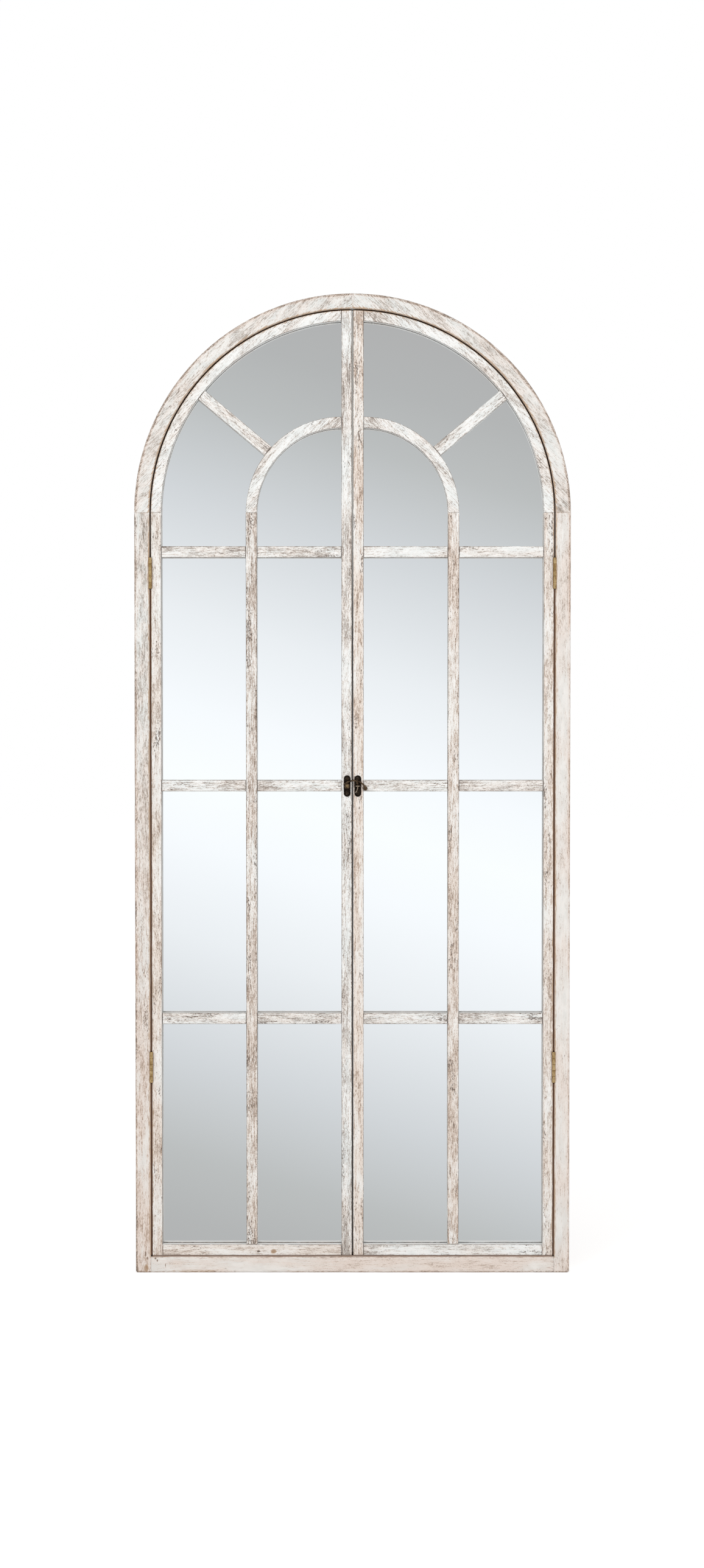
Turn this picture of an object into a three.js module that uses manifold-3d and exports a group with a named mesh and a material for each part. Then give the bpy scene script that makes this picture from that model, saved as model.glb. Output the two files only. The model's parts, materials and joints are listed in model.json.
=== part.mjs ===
// An arched window mirror: one mirror glass in a round-headed wooden frame, behind a pair of open lattice
// sashes that swing out on brass butt hinges and are held shut by a hook latch.
// Millimetres, +Z up. The front faces -Y, x = 0 is the centre line, z = 0 the foot, and y = 0 is half way
// through the frame.
import * as THREE from "three";
import { mergeVertices } from "three/addons/utils/BufferGeometryUtils.js";
import Module from "manifold-3d";

const wasm = await Module();
wasm.setup();

// ---------------------------------------------------------------- driving dimensions

// outer frame
const HEIGHT = 1796.8;
const WIDTH = 798.6;
const DEPTH = 30;
const FRAME_FACE = 28; // stiles and arch, seen from the front
const RAIL_FACE = 29.5; // bottom rail, seen from the front
const OUTER_ARRIS = 3.5; // round-over of the frame's outer front edge
const FOOT_CORNER = 4; // radius of the frame's two lower corners
const INNER_ARRIS = 1.2; // round-over of the frame's edge round the opening
const REBATE_WIDTH = 10; // the rebate in the back that holds the glass

// glass and back
const GLASS_THICKNESS = 3;
const BOARD_THICKNESS = 3;
const GLASS_EDGE_GAP = 1; // room round the glass in its rebate

// sashes
const SASH_RECESS = 1.5; // sash front behind the frame front
const SASH_THICKNESS = 15;
const SASH_TO_GLASS = 2.5;
const SASH_SIDE_GAP = 2.8; // sash to frame, at the hinges and round the arch
const SASH_FOOT_GAP = 2.5; // sash to bottom rail
const SEAM_GAP = 2.5; // between the two sashes
const MEETING_STILE = 19;
const HINGE_STILE = 18.8;
const SASH_RAIL = 20;
const BAR_WIDTH = 20.5; // mullion, bars, inner arch and spoke
const BAR_ROWS = 3;
const TOP_BAR_DROP = 61.2; // springline to the top of the highest bar
const SPOKE_ANGLE = 40; // degrees above the horizontal
const EASING = 0.8; // rubbed-down arris of every sash member

// butt hinges
const HINGE_HEIGHT = 56;
const LOWER_HINGE_Z = 380;
const UPPER_HINGE_DROP = 110.5; // springline to the middle of the upper hinges
const KNUCKLES = 5;
const KNUCKLE_RADIUS = 2.8;
const PIN_RADIUS = 1.3;
const PIN_TIP = 0.5; // pin showing past each end of the knuckles
const PIN_PROUD = 0.5; // pin centre in front of the frame's face
const LEAF_THICKNESS = 1.2;
const LEAF_SPACING = 1.2; // between the closed leaves
const LEAF_WIDTH = 11.5;
const KNUCKLE_GAP = 0.3;
const SASH_NOTCH_GAP = 1.2; // open notch beside the knuckles, on the sash side

// hook latch
const PLATE_WIDTH = 12.3;
const PLATE_LENGTH = 39.4;
const PLATE_THICKNESS = 1.6;
const PLATE_EASING = 0.4;
const PLATE_INSET = 8.5; // seam edge of the meeting stile to the plate's middle
const LATCH_DROP = 0.5; // latch centre below the middle bar's centre
const SCREW_SPACING = 27;
const SCREW_RADIUS = 1.2;
const SCREW_HEAD_RADIUS = 2.6;
const SCREW_HEAD_DEPTH = 1.2;
const SCREW_HEAD_CROWN = 0.5;
const SCREW_LENGTH = 11;
const SLOT_WIDTH = 0.8;
const SLOT_DEPTH = 0.5;
const HOOK_STAND_OFF = 2.7; // plate face to the hook's mid plane
const HOOK_ARM_RADIUS = 1.6;
const HOOK_ARC_RADIUS = 25;
const HOOK_ARC_X = 12; // rivet to the middle of the arm's arc
const HOOK_RISE = 10; // rivet to the top of the arm's arc
const HOOK_ARC_END = 38; // degrees above the horizontal, where the arm meets its knob
const HOOK_NOSE_RADIUS = 1.25;
const HOOK_NOSE_DROP = 36; // degrees of nose below the eye
const HOOK_COLLAR_RADIUS = 2.3;
const HOOK_RING_RADIUS = 5;
const HOOK_RING_THICKNESS = 2.6;
const KNOB_RADIUS = 3.9;
const KNOB_NECK = 5; // end of the arm to the knob's middle
const KNOB_DROP = 70; // degrees below the horizontal
const RIVET_RADIUS = 1.5;
const RIVET_HEAD_RADIUS = 2.9;
const RIVET_HEAD_HEIGHT = 1.5;
const RIVET_DEPTH = 8; // into the stile
const BOSS_RADIUS = 3.2;
const STAPLE_WIRE = 1.1;
const STAPLE_RADIUS = 3.6; // middle of the plate to the middle of the wire
const STAPLE_REACH = 5.4; // plate face to the middle of the front wire

// stops and hangers
const BUMPER_RADIUS = 4;
const BUMPER_INSET = 40; // from the ends of the meeting stile
const HANGER_WIDTH = 13;
const HANGER_LENGTH = 46;
const HANGER_THICKNESS = 1.6;
const HANGER_DROP = 70; // springline to the middle of the hanger
const KEYHOLE_RADIUS = 4.6;
const KEYHOLE_SLOT = 5;
const KEYHOLE_LENGTH = 13; // middle of the entry hole to the middle of the slot's round end
const POCKET_DEPTH = 6.5; // behind the hanger plate

// fits
const SEAT = 0.3; // between pieces that bear on each other
const RUNNING = 0.15; // round a turning pin
const SPARE = 8; // how far cutters run past what they cut
const SHAVE = 0.05; // the same for a cutter that rounds over an edge

// smoothness
const CHORD_ERROR = 0.1; // how far a flat facet may lie inside its true arc
const TURNED_SIDES = 16;
const KNUCKLE_SIDES = 12;
const WIRE_SIDES = 8;
const ROUND_OVER_STEPS = 4; // in the frame's outer arris
const EASING_STEPS = 2; // in every smaller arris

// ---------------------------------------------------------------- sizes that follow

const outerRadius = WIDTH / 2;
const springline = HEIGHT - outerRadius;
const frontY = -DEPTH / 2;
const backY = DEPTH / 2;
const openingRadius = outerRadius - FRAME_FACE;
const rebateRadius = openingRadius + REBATE_WIDTH;
const rebateFoot = RAIL_FACE - REBATE_WIDTH;

const sashRadius = openingRadius - SASH_SIDE_GAP;
const sashInnerRadius = sashRadius - HINGE_STILE;
const sashFoot = RAIL_FACE + SASH_FOOT_GAP;
const sashFrontY = frontY + SASH_RECESS;
const sashBackY = sashFrontY + SASH_THICKNESS;
const seamEdge = SEAM_GAP / 2;
const meetingEdge = seamEdge + MEETING_STILE;
const railTop = sashFoot + SASH_RAIL;
const paneWidth = (sashInnerRadius - meetingEdge - BAR_WIDTH) / 2;
const mullionNear = meetingEdge + paneWidth;
const mullionFar = mullionNear + BAR_WIDTH;
const paneHeight = (springline - TOP_BAR_DROP - railTop - BAR_ROWS * BAR_WIDTH) / BAR_ROWS;

const glassFrontY = sashBackY + SASH_TO_GLASS;
const glassBackY = glassFrontY + GLASS_THICKNESS;
const rebateY = glassFrontY - SEAT;
const boardFrontY = glassBackY + SEAT;
const boardBackY = boardFrontY + BOARD_THICKNESS;

const pinX = openingRadius - SASH_SIDE_GAP / 2;
const pinY = frontY - PIN_PROUD;
const hingeHeights = { lower: LOWER_HINGE_Z, upper: springline - UPPER_HINGE_DROP };

const plateX = seamEdge + PLATE_INSET;
const plateFrontY = sashFrontY - PLATE_THICKNESS;
const latchZ = railTop + 2 * paneHeight + 1.5 * BAR_WIDTH - LATCH_DROP;
const hookY = plateFrontY - HOOK_STAND_OFF;
const noseRadius = 2 * plateX;

const hangerX = (rebateRadius + outerRadius) / 2;
const hangerZ = springline - HANGER_DROP;

// ---------------------------------------------------------------- materials

const finish = (color, roughness, metalness) =>
  new THREE.MeshStandardMaterial({ color, roughness, metalness });
const whitewash = finish(0xe2dad3, 0.75, 0);
const silvering = finish(0xeef3f5, 0.03, 1);
const hardboard = finish(0x8a6a4c, 0.8, 0);
const brass = finish(0xbfa272, 0.35, 1);
const darkBronze = finish(0x33271f, 0.45, 0.9);
const zincPlate = finish(0xb9bcc0, 0.4, 1);
const clearRubber = finish(0xd8d8d2, 0.5, 0);

// ---------------------------------------------------------------- shape helpers

const degrees = THREE.MathUtils.degToRad;
const inDegrees = THREE.MathUtils.radToDeg;

// Points of an arc in the x-z plane, from one angle to another, in degrees.
function arc(x, z, radius, from, to) {
  const step = 2 * inDegrees(Math.acos(1 - CHORD_ERROR / radius));
  const count = Math.ceil(Math.abs(to - from) / step);
  return Array.from({ length: count + 1 }, (_, i) => {
    const angle = degrees(from + ((to - from) * i) / count);
    return [x + radius * Math.cos(angle), z + radius * Math.sin(angle)];
  });
}

const rectangle = (x0, x1, z0, z1) => [
  [x0, z0],
  [x1, z0],
  [x1, z1],
  [x0, z1],
];

// A round-headed outline about the centre line, with its foot at z and its springline at the frame's.
function archOutline(radius, foot, cornerRadius = 0) {
  const corner = (side, from) =>
    cornerRadius > 0
      ? arc(side * (radius - cornerRadius), foot + cornerRadius, cornerRadius, from, from + 90)
      : [[side * radius, foot]];
  const head = [...arc(0, springline, radius, 0, 90), ...arc(0, springline, radius, 90, 180).slice(1)];
  return [...corner(-1, 180), ...corner(1, 270), ...head];
}

// The outline of a quarter of a ring, seated on the springline below it and on an upright at endX.
function quarterRing(centreX, innerRadius, width, endX) {
  const edge = (radius) => {
    const from = inDegrees(Math.asin(SEAT / radius));
    const to = inDegrees(Math.acos((endX + SEAT - centreX) / radius));
    return arc(centreX, springline, radius, from, to);
  };
  return [...edge(innerRadius + width), ...edge(innerRadius).reverse()];
}

// A stadium or round-ended slot, upright, between the centres of its two ends.
const stadium = (x, z0, z1, radius) => [...arc(x, z1, radius, 0, 180), ...arc(x, z0, radius, 180, 360)];

// A flat board: an x-z outline from front to back. A positive easing rounds all its edges inside the outline,
// and a negative one flares them, as a cutter that rounds over the edges of what it cuts.
function board(outline, front, back, easing = 0, steps = EASING_STEPS) {
  const shape = new THREE.Shape(outline.map(([x, z]) => new THREE.Vector2(x, z)));
  const thickness = Math.abs(easing);
  const geometry = new THREE.ExtrudeGeometry(shape, {
    depth: back - front - 2 * thickness,
    bevelEnabled: easing !== 0,
    bevelThickness: thickness,
    bevelSize: easing,
    bevelOffset: -easing,
    bevelSegments: steps,
  });
  return geometry.rotateX(Math.PI / 2).translate(0, back - thickness, 0);
}

function box(x0, x1, y0, y1, z0, z1) {
  const geometry = new THREE.BoxGeometry(Math.abs(x1 - x0), Math.abs(y1 - y0), Math.abs(z1 - z0));
  return geometry.translate((x0 + x1) / 2, (y0 + y1) / 2, (z0 + z1) / 2);
}

// The profile of a plain rod along Y.
const rod = (radius, y0, y1) => [
  [0, y0],
  [radius, y0],
  [radius, y1],
  [0, y1],
];

// A turned piece about a line along Y: profile points are [radius, y], starting and ending on the axis.
function turned(profile, x, z, sides = TURNED_SIDES) {
  const points = profile.map(([radius, y]) => new THREE.Vector2(radius, y));
  return new THREE.LatheGeometry(points, sides).translate(x, 0, z);
}

// A cylinder standing on Z.
function upright(radius, x, y, z0, z1, sides = KNUCKLE_SIDES) {
  const geometry = new THREE.CylinderGeometry(radius, radius, z1 - z0, sides);
  return geometry.rotateX(Math.PI / 2).translate(x, y, (z0 + z1) / 2);
}

// An arc from one angle to another, in degrees, in the plane of +X and a second axis: a path for a round bar.
class ArcPath extends THREE.Curve {
  constructor(centre, second, radius, from, to) {
    super();
    Object.assign(this, { centre, second, radius, from: degrees(from), to: degrees(to) });
  }

  getPoint(t, target = new THREE.Vector3()) {
    const angle = this.from + (this.to - this.from) * t;
    target.copy(this.centre).addScaledVector(this.second, this.radius * Math.sin(angle));
    target.x += this.radius * Math.cos(angle);
    return target;
  }
}

// A round bar along a path.
function roundBar(path, radius) {
  const last = WIRE_SIDES - 1;
  const circle = new THREE.EllipseCurve(0, 0, radius, radius, 0, (2 * Math.PI * last) / WIRE_SIDES);
  const section = new THREE.Shape(circle.getPoints(last));
  const steps = Math.ceil(path.getLength() / (1.5 * radius));
  return new THREE.ExtrudeGeometry(section, { extrudePath: path, steps, bevelEnabled: false });
}

function ball(radius, centre) {
  return new THREE.SphereGeometry(radius, WIRE_SIDES, WIRE_SIDES - 2).translate(...centre.toArray());
}

// ---------------------------------------------------------------- cutting and joining

function solid(geometry) {
  const bare = geometry.clone();
  bare.deleteAttribute("normal");
  bare.deleteAttribute("uv");
  const merged = mergeVertices(bare, 1e-3);
  return new wasm.Manifold(
    new wasm.Mesh({
      numProp: 3,
      vertProperties: merged.attributes.position.array,
      triVerts: new Uint32Array(merged.index.array),
    }),
  );
}

function surface(body) {
  const mesh = body.getMesh();
  const geometry = new THREE.BufferGeometry();
  geometry.setAttribute("position", new THREE.BufferAttribute(new Float32Array(mesh.vertProperties), 3));
  geometry.setIndex(new THREE.BufferAttribute(new Uint32Array(mesh.triVerts), 1));
  geometry.computeVertexNormals();
  return geometry;
}

const cut = (geometry, cutters) =>
  surface(cutters.reduce((body, cutter) => body.subtract(solid(cutter)), solid(geometry)));
const join = (geometries) => surface(geometries.map(solid).reduce((body, next) => body.add(next)));
const common = (a, b) => surface(solid(a).intersect(solid(b)));

// ---------------------------------------------------------------- assembly

const mirror = new THREE.Group();

function add(name, geometry, material) {
  const mesh = new THREE.Mesh(geometry, material);
  mesh.name = name;
  mirror.add(mesh);
}

// The side of the centre line: the right-hand shape mirrored for the left.
const SIDES = { left: -1, right: 1 };
const onSide = (side, outline) => outline.map(([x, z]) => [side * x, z]);

// ---------------------------------------------------------------- hinge shapes

const leafNear = LEAF_SPACING / 2;
const leafFar = leafNear + LEAF_THICKNESS;
const leafStartY = pinY + KNUCKLE_RADIUS + SEAT;
const leafEndY = leafStartY + LEAF_WIDTH;

// One leaf with its knuckles: towards is +1 for the leaf on the frame, -1 for the one on the sash,
// and first says whether it takes the odd knuckles.
function hingeLeaf(side, towards, middle, first) {
  const bottom = middle - HINGE_HEIGHT / 2;
  const pitch = (HINGE_HEIGHT + KNUCKLE_GAP) / KNUCKLES;
  const near = side * (pinX + towards * leafNear);
  const far = side * (pinX + towards * leafFar);
  const pieces = [box(near, far, leafStartY, leafEndY, bottom, bottom + HINGE_HEIGHT)];
  for (let i = first ? 0 : 1; i < KNUCKLES; i += 2) {
    const z0 = bottom + i * pitch;
    const z1 = z0 + pitch - KNUCKLE_GAP;
    pieces.push(upright(KNUCKLE_RADIUS, side * pinX, pinY, z0, z1));
    pieces.push(box(near, far, pinY, leafStartY + LEAF_THICKNESS, z0, z1));
  }
  const bore = upright(PIN_RADIUS + RUNNING, side * pinX, pinY, bottom - 1, bottom + HINGE_HEIGHT + 1);
  return cut(join(pieces), [bore]);
}

// What a hinge needs cut away: the gain for its leaf, and the notch that its knuckles turn in.
function hingeCutters(side, towards, middle, notchGap) {
  const bottom = middle - HINGE_HEIGHT / 2 - SEAT;
  const top = middle + HINGE_HEIGHT / 2 + SEAT;
  const near = side * (pinX + towards * leafNear);
  const far = side * (pinX + towards * (leafFar + SEAT));
  return [
    box(near, far, frontY - DEPTH, leafEndY + SEAT, bottom, top),
    upright(KNUCKLE_RADIUS + notchGap, side * pinX, pinY, bottom, top, 2 * KNUCKLE_SIDES),
  ];
}

function addHinges() {
  for (const [sideName, side] of Object.entries(SIDES)) {
    for (const [level, middle] of Object.entries(hingeHeights)) {
      const name = `${sideName}_${level}_hinge`;
      const half = HINGE_HEIGHT / 2 + PIN_TIP;
      add(`${name}_frame_leaf`, hingeLeaf(side, 1, middle, true), brass);
      add(`${name}_sash_leaf`, hingeLeaf(side, -1, middle, false), brass);
      add(`${name}_pin`, upright(PIN_RADIUS, side * pinX, pinY, middle - half, middle + half), brass);
    }
  }
}

// ---------------------------------------------------------------- outer frame

// An upright slot in the back at a hanger, so long between the centres of its ends and so deep.
function hangerSlot(side, radius, length, depth) {
  const outline = stadium(side * hangerX, hangerZ - length / 2, hangerZ + length / 2, radius);
  return board(outline, backY - depth, backY + SPARE);
}

// The recess in a stile: shallow for the hanger plate, and deep where the wall screw's head slides.
const hangerCutters = (side) => [
  hangerSlot(side, HANGER_WIDTH / 2 + SEAT, HANGER_LENGTH - HANGER_WIDTH, HANGER_THICKNESS + SEAT),
  hangerSlot(side, KEYHOLE_RADIUS, KEYHOLE_LENGTH, HANGER_THICKNESS + SEAT + POCKET_DEPTH),
];

function addFrame() {
  // The outside, the opening and the rebate are run round the whole ring, which is glued up from five pieces.
  const pastBack = backY + SPARE;
  const outline = archOutline(outerRadius, 0, FOOT_CORNER);
  const outside = board(outline, frontY, pastBack, OUTER_ARRIS, ROUND_OVER_STEPS);
  const opening = board(archOutline(openingRadius, RAIL_FACE), frontY - SHAVE, pastBack, -INNER_ARRIS);
  const rebate = board(archOutline(rebateRadius, rebateFoot), rebateY, pastBack);
  const ring = cut(outside, [opening, rebate]);
  const piece = (x0, x1, z0, z1) => common(ring, box(x0, x1, frontY - SPARE, backY, z0, z1));

  const railEnd = openingRadius - SEAT;
  add("frame_bottom_rail", piece(-railEnd, railEnd, -SPARE, springline), whitewash);
  for (const [sideName, side] of Object.entries(SIDES)) {
    const outer = side * (outerRadius + SPARE);
    const gains = Object.values(hingeHeights).flatMap((middle) => hingeCutters(side, 1, middle, SEAT));
    const stile = piece(side * openingRadius, outer, -SPARE, springline);
    add(`frame_${sideName}_stile`, cut(stile, [...gains, ...hangerCutters(side)]), whitewash);
    const arch = piece((side * SEAT) / 2, outer, springline + SEAT, HEIGHT + SPARE);
    add(`frame_${sideName}_arch`, arch, whitewash);
  }
}

function addGlassAndBack() {
  const radius = rebateRadius - GLASS_EDGE_GAP;
  const outline = archOutline(radius, rebateFoot + GLASS_EDGE_GAP);
  add("mirror_glass", board(outline, glassFrontY, glassBackY), silvering);
  add("backboard", board(outline, boardFrontY, boardBackY), hardboard);
}

function addHangers() {
  const reach = (HANGER_LENGTH - HANGER_WIDTH) / 2;
  for (const [sideName, side] of Object.entries(SIDES)) {
    const x = side * hangerX;
    const outline = stadium(x, hangerZ - reach, hangerZ + reach, HANGER_WIDTH / 2);
    const plate = board(outline, backY - HANGER_THICKNESS, backY);
    const entryZ = hangerZ - KEYHOLE_LENGTH / 2;
    const entry = turned(rod(KEYHOLE_RADIUS, boardBackY, backY + SPARE), x, entryZ);
    const slot = hangerSlot(side, KEYHOLE_SLOT / 2, KEYHOLE_LENGTH, HANGER_THICKNESS + SPARE);
    add(`${sideName}_keyhole_hanger`, cut(plate, [entry, slot]), zincPlate);
  }
}

// ---------------------------------------------------------------- sashes

// A point of the spoke: so far across it, and so far out from the middle of the fan.
const fanCentre = new THREE.Vector2(meetingEdge, springline);
const spokeAlong = new THREE.Vector2(Math.cos(degrees(SPOKE_ANGLE)), Math.sin(degrees(SPOKE_ANGLE)));
const spokeAcross = new THREE.Vector2(-spokeAlong.y, spokeAlong.x);

// Where a line along the spoke, a given way across it, meets a circle about a point of the springline.
function spokeMeets(centreX, radius, across) {
  const start = fanCentre.clone().addScaledVector(spokeAcross, across);
  const offset = start.clone().sub(new THREE.Vector2(centreX, springline));
  const reach = offset.dot(spokeAlong);
  const chord = Math.sqrt(reach ** 2 - offset.lengthSq() + radius ** 2);
  return start.addScaledVector(spokeAlong, chord - reach);
}

function spokeOutline() {
  const across = [-0.5, -0.25, 0, 0.25, 0.5].map((share) => share * BAR_WIDTH);
  const foot = across.map((w) => spokeMeets(meetingEdge, paneWidth + BAR_WIDTH + SEAT, w).toArray());
  const head = across.map((w) => spokeMeets(0, sashInnerRadius - SEAT, w).toArray());
  return [...foot.reverse(), ...head];
}

function meetingStileOutline() {
  const angle = (x) => inDegrees(Math.acos(x / sashRadius));
  const head = arc(0, springline, sashRadius, angle(meetingEdge), angle(seamEdge));
  return [[seamEdge, sashFoot], [meetingEdge, sashFoot], ...head];
}

function addSash(sideName, side) {
  const member = (outline) => board(onSide(side, outline), sashFrontY, sashBackY, EASING);
  const addMember = (name, geometry) => add(`${sideName}_sash_${name}`, geometry, whitewash);

  const pilots = [latchScrew(side, 1, SEAT), latchScrew(side, -1, SEAT)];
  if (side === SIDES.left) pilots.push(rivet(SEAT));
  addMember("meeting_stile", cut(member(meetingStileOutline()), pilots));

  const heights = Object.values(hingeHeights);
  const gains = heights.flatMap((middle) => hingeCutters(side, -1, middle, SASH_NOTCH_GAP));
  const hingeStile = rectangle(sashInnerRadius, sashRadius, sashFoot, springline);
  addMember("hinge_stile", cut(member(hingeStile), gains));

  addMember("bottom_rail", member(rectangle(meetingEdge + SEAT, sashInnerRadius - SEAT, sashFoot, railTop)));
  addMember("arch_rail", member(quarterRing(0, sashInnerRadius, HINGE_STILE, meetingEdge)));
  addMember("mullion", member(rectangle(mullionNear, mullionFar, railTop + SEAT, springline)));
  addMember("inner_arch", member(quarterRing(meetingEdge, paneWidth, BAR_WIDTH, meetingEdge)));
  addMember("spoke", member(spokeOutline()));

  for (let row = 0; row < BAR_ROWS; row += 1) {
    const z0 = railTop + (row + 1) * paneHeight + row * BAR_WIDTH;
    const inner = rectangle(meetingEdge + SEAT, mullionNear - SEAT, z0, z0 + BAR_WIDTH);
    const outer = rectangle(mullionFar + SEAT, sashInnerRadius - SEAT, z0, z0 + BAR_WIDTH);
    addMember(`inner_bar_${row + 1}`, member(inner));
    addMember(`outer_bar_${row + 1}`, member(outer));
  }

  const bumper = (z) =>
    turned(rod(BUMPER_RADIUS, sashBackY, glassFrontY - SEAT), side * (seamEdge + MEETING_STILE / 2), z);
  add(`${sideName}_lower_bumper`, bumper(sashFoot + BUMPER_INSET), clearRubber);
  add(`${sideName}_upper_bumper`, bumper(springline + sashRadius - BUMPER_INSET), clearRubber);
}

// ---------------------------------------------------------------- latch

// The profile of a crowned head: half an ellipse from its top down to the plane it sits on.
const crown = (radius, height, y) =>
  [0, 30, 60, 90].map((angle) => [radius * Math.sin(degrees(angle)), y - height * Math.cos(degrees(angle))]);

// A countersunk wood screw through a latch plate, its head's crown towards the front.
function latchScrew(side, end, clearance) {
  const shank = SCREW_RADIUS + clearance;
  const head = SCREW_HEAD_RADIUS + clearance;
  const profile = [
    ...crown(head, SCREW_HEAD_CROWN, plateFrontY),
    [shank, plateFrontY + SCREW_HEAD_DEPTH + clearance],
    [shank, plateFrontY + SCREW_LENGTH + clearance],
    [0, plateFrontY + SCREW_LENGTH + clearance],
  ];
  return turned(profile, side * plateX, latchZ + (end * SCREW_SPACING) / 2);
}

// The rivet that the hook turns on.
function rivet(clearance) {
  const shank = RIVET_RADIUS + clearance;
  const headY = hookY - HOOK_RING_THICKNESS / 2 - SEAT;
  const profile = [
    ...crown(RIVET_HEAD_RADIUS, RIVET_HEAD_HEIGHT, headY),
    [shank, headY],
    [shank, sashFrontY + RIVET_DEPTH + clearance],
    [0, sashFrontY + RIVET_DEPTH + clearance],
  ];
  return turned(profile, -plateX, latchZ);
}

// The staple that the hook's nose drops into: two legs out of the plate, joined by a round front.
function staple() {
  const bendY = plateFrontY - STAPLE_REACH + STAPLE_RADIUS;
  const leg = (side, y) => new THREE.Vector3(plateX + side * STAPLE_RADIUS, y, latchZ);
  const rootY = plateFrontY + PLATE_THICKNESS / 2;
  const path = new THREE.CurvePath();
  path.add(new THREE.LineCurve3(leg(1, rootY), leg(1, bendY)));
  const middle = new THREE.Vector3(plateX, bendY, latchZ);
  path.add(new ArcPath(middle, new THREE.Vector3(0, -1, 0), STAPLE_RADIUS, 0, 180));
  path.add(new THREE.LineCurve3(leg(-1, bendY), leg(-1, rootY)));
  return roundBar(path, STAPLE_WIRE);
}

const rivetAt = new THREE.Vector3(-plateX, hookY, latchZ);
const upAxis = new THREE.Vector3(0, 0, 1);

// A point some way below another in the hook's plane, at an angle below +X.
function below(start, distance, angle) {
  const way = new THREE.Vector3(Math.cos(degrees(angle)), 0, -Math.sin(degrees(angle)));
  return start.clone().addScaledVector(way, distance);
}

// The hook's thumb knob: a ball that narrows to the arm's end.
function knob(armEnd) {
  const round = arc(0, 0, KNOB_RADIUS, -90, 45).map(([radius, y]) => [Math.abs(radius), y]);
  round[0][0] = 0;
  const profile = [...round, [HOOK_ARM_RADIUS, KNOB_NECK], [0, KNOB_NECK]];
  const towardsArm = turned(profile, 0, 0).rotateX(Math.PI / 2).rotateY(degrees(KNOB_DROP - 90));
  return towardsArm.translate(...below(armEnd, KNOB_NECK, KNOB_DROP).toArray());
}

// The hook: a ring on the rivet, an arm arched over to its knob, and a nose on a circle about the rivet.
function hook() {
  const armCentreZ = HOOK_RISE - HOOK_ARC_RADIUS;
  const armCentre = rivetAt.clone().add(new THREE.Vector3(HOOK_ARC_X, 0, armCentreZ));
  const toArm = Math.hypot(HOOK_ARC_X, armCentreZ);
  const armBearing = inDegrees(Math.atan2(armCentreZ, HOOK_ARC_X));
  // the arm starts where its arc passes nearest to the rivet
  const arm = new ArcPath(armCentre, upAxis, HOOK_ARC_RADIUS, armBearing + 180, HOOK_ARC_END);
  // and the nose leaves it where the two circles cross
  const cosine = (toArm ** 2 + noseRadius ** 2 - HOOK_ARC_RADIUS ** 2) / (2 * toArm * noseRadius);
  const crossing = armBearing + inDegrees(Math.acos(cosine));
  const collarFoot = inDegrees(Math.asin((STAPLE_WIRE + SEAT) / noseRadius));
  const nose = new ArcPath(rivetAt, upAxis, noseRadius, crossing, -HOOK_NOSE_DROP);
  const collar = new ArcPath(rivetAt, upAxis, noseRadius, crossing - HOOK_COLLAR_RADIUS, collarFoot);
  const half = HOOK_RING_THICKNESS / 2;
  const armEnd = arm.getPoint(1);

  const pieces = [
    turned(rod(HOOK_RING_RADIUS, hookY - half, hookY + half), rivetAt.x, latchZ),
    roundBar(arm, HOOK_ARM_RADIUS),
    ball(HOOK_ARM_RADIUS, arm.getPoint(0)),
    ball(HOOK_ARM_RADIUS, armEnd),
    knob(armEnd),
    roundBar(nose, HOOK_NOSE_RADIUS),
    ball(HOOK_NOSE_RADIUS, nose.getPoint(1)),
    roundBar(collar, HOOK_COLLAR_RADIUS),
  ];
  const bore = turned(rod(RIVET_RADIUS + RUNNING, hookY - SPARE, hookY + SPARE), rivetAt.x, latchZ);
  return cut(join(pieces), [bore]);
}

function addPlate(name, side, fitting, holes) {
  const reach = (PLATE_LENGTH - PLATE_WIDTH) / 2;
  const outline = stadium(side * plateX, latchZ - reach, latchZ + reach, PLATE_WIDTH / 2);
  const plate = board(outline, plateFrontY, sashFrontY, PLATE_EASING);
  const screwHoles = [1, -1].map((end) => latchScrew(side, end, SEAT));
  add(name, cut(join([plate, fitting]), [...screwHoles, ...holes]), darkBronze);
}

function addLatch() {
  const bossFrontY = hookY + HOOK_RING_THICKNESS / 2 + SEAT;
  const boss = turned(rod(BOSS_RADIUS, bossFrontY, sashFrontY - PLATE_THICKNESS / 2), -plateX, latchZ);
  addPlate("latch_plate", SIDES.left, boss, [rivet(SEAT)]);
  addPlate("keeper_plate", SIDES.right, staple(), []);

  for (const [sideName, side] of Object.entries(SIDES)) {
    for (const [endName, end] of Object.entries({ upper: 1, lower: -1 })) {
      const x = side * plateX;
      const z = latchZ + (end * SCREW_SPACING) / 2;
      const crownY = plateFrontY - SCREW_HEAD_CROWN;
      const [reach, half] = [SCREW_HEAD_RADIUS + SEAT, SLOT_WIDTH / 2];
      const slot = box(x - reach, x + reach, crownY - SEAT, crownY + SLOT_DEPTH, z - half, z + half);
      add(`${sideName}_latch_${endName}_screw`, cut(latchScrew(side, end, 0), [slot]), darkBronze);
    }
  }
  add("latch_rivet", rivet(0), darkBronze);
  add("latch_hook", hook(), darkBronze);
}

addFrame();
addGlassAndBack();
addHangers();
for (const [sideName, side] of Object.entries(SIDES)) addSash(sideName, side);
addHinges();
addLatch();

export default mirror;
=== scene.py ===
"""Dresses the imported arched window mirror: whitewashed wood, silvered glass, brass hinges and a dark bronze latch.

Everything is in metres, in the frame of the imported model: +Z is up, the front faces -Y and x = 0 is the centre line.
"""

import json
import random
from math import acos, asin, atan2, cos, degrees, exp, hypot, pi, radians, sin

import bmesh
import bpy
from mathutils import Matrix, Vector, noise


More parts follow.
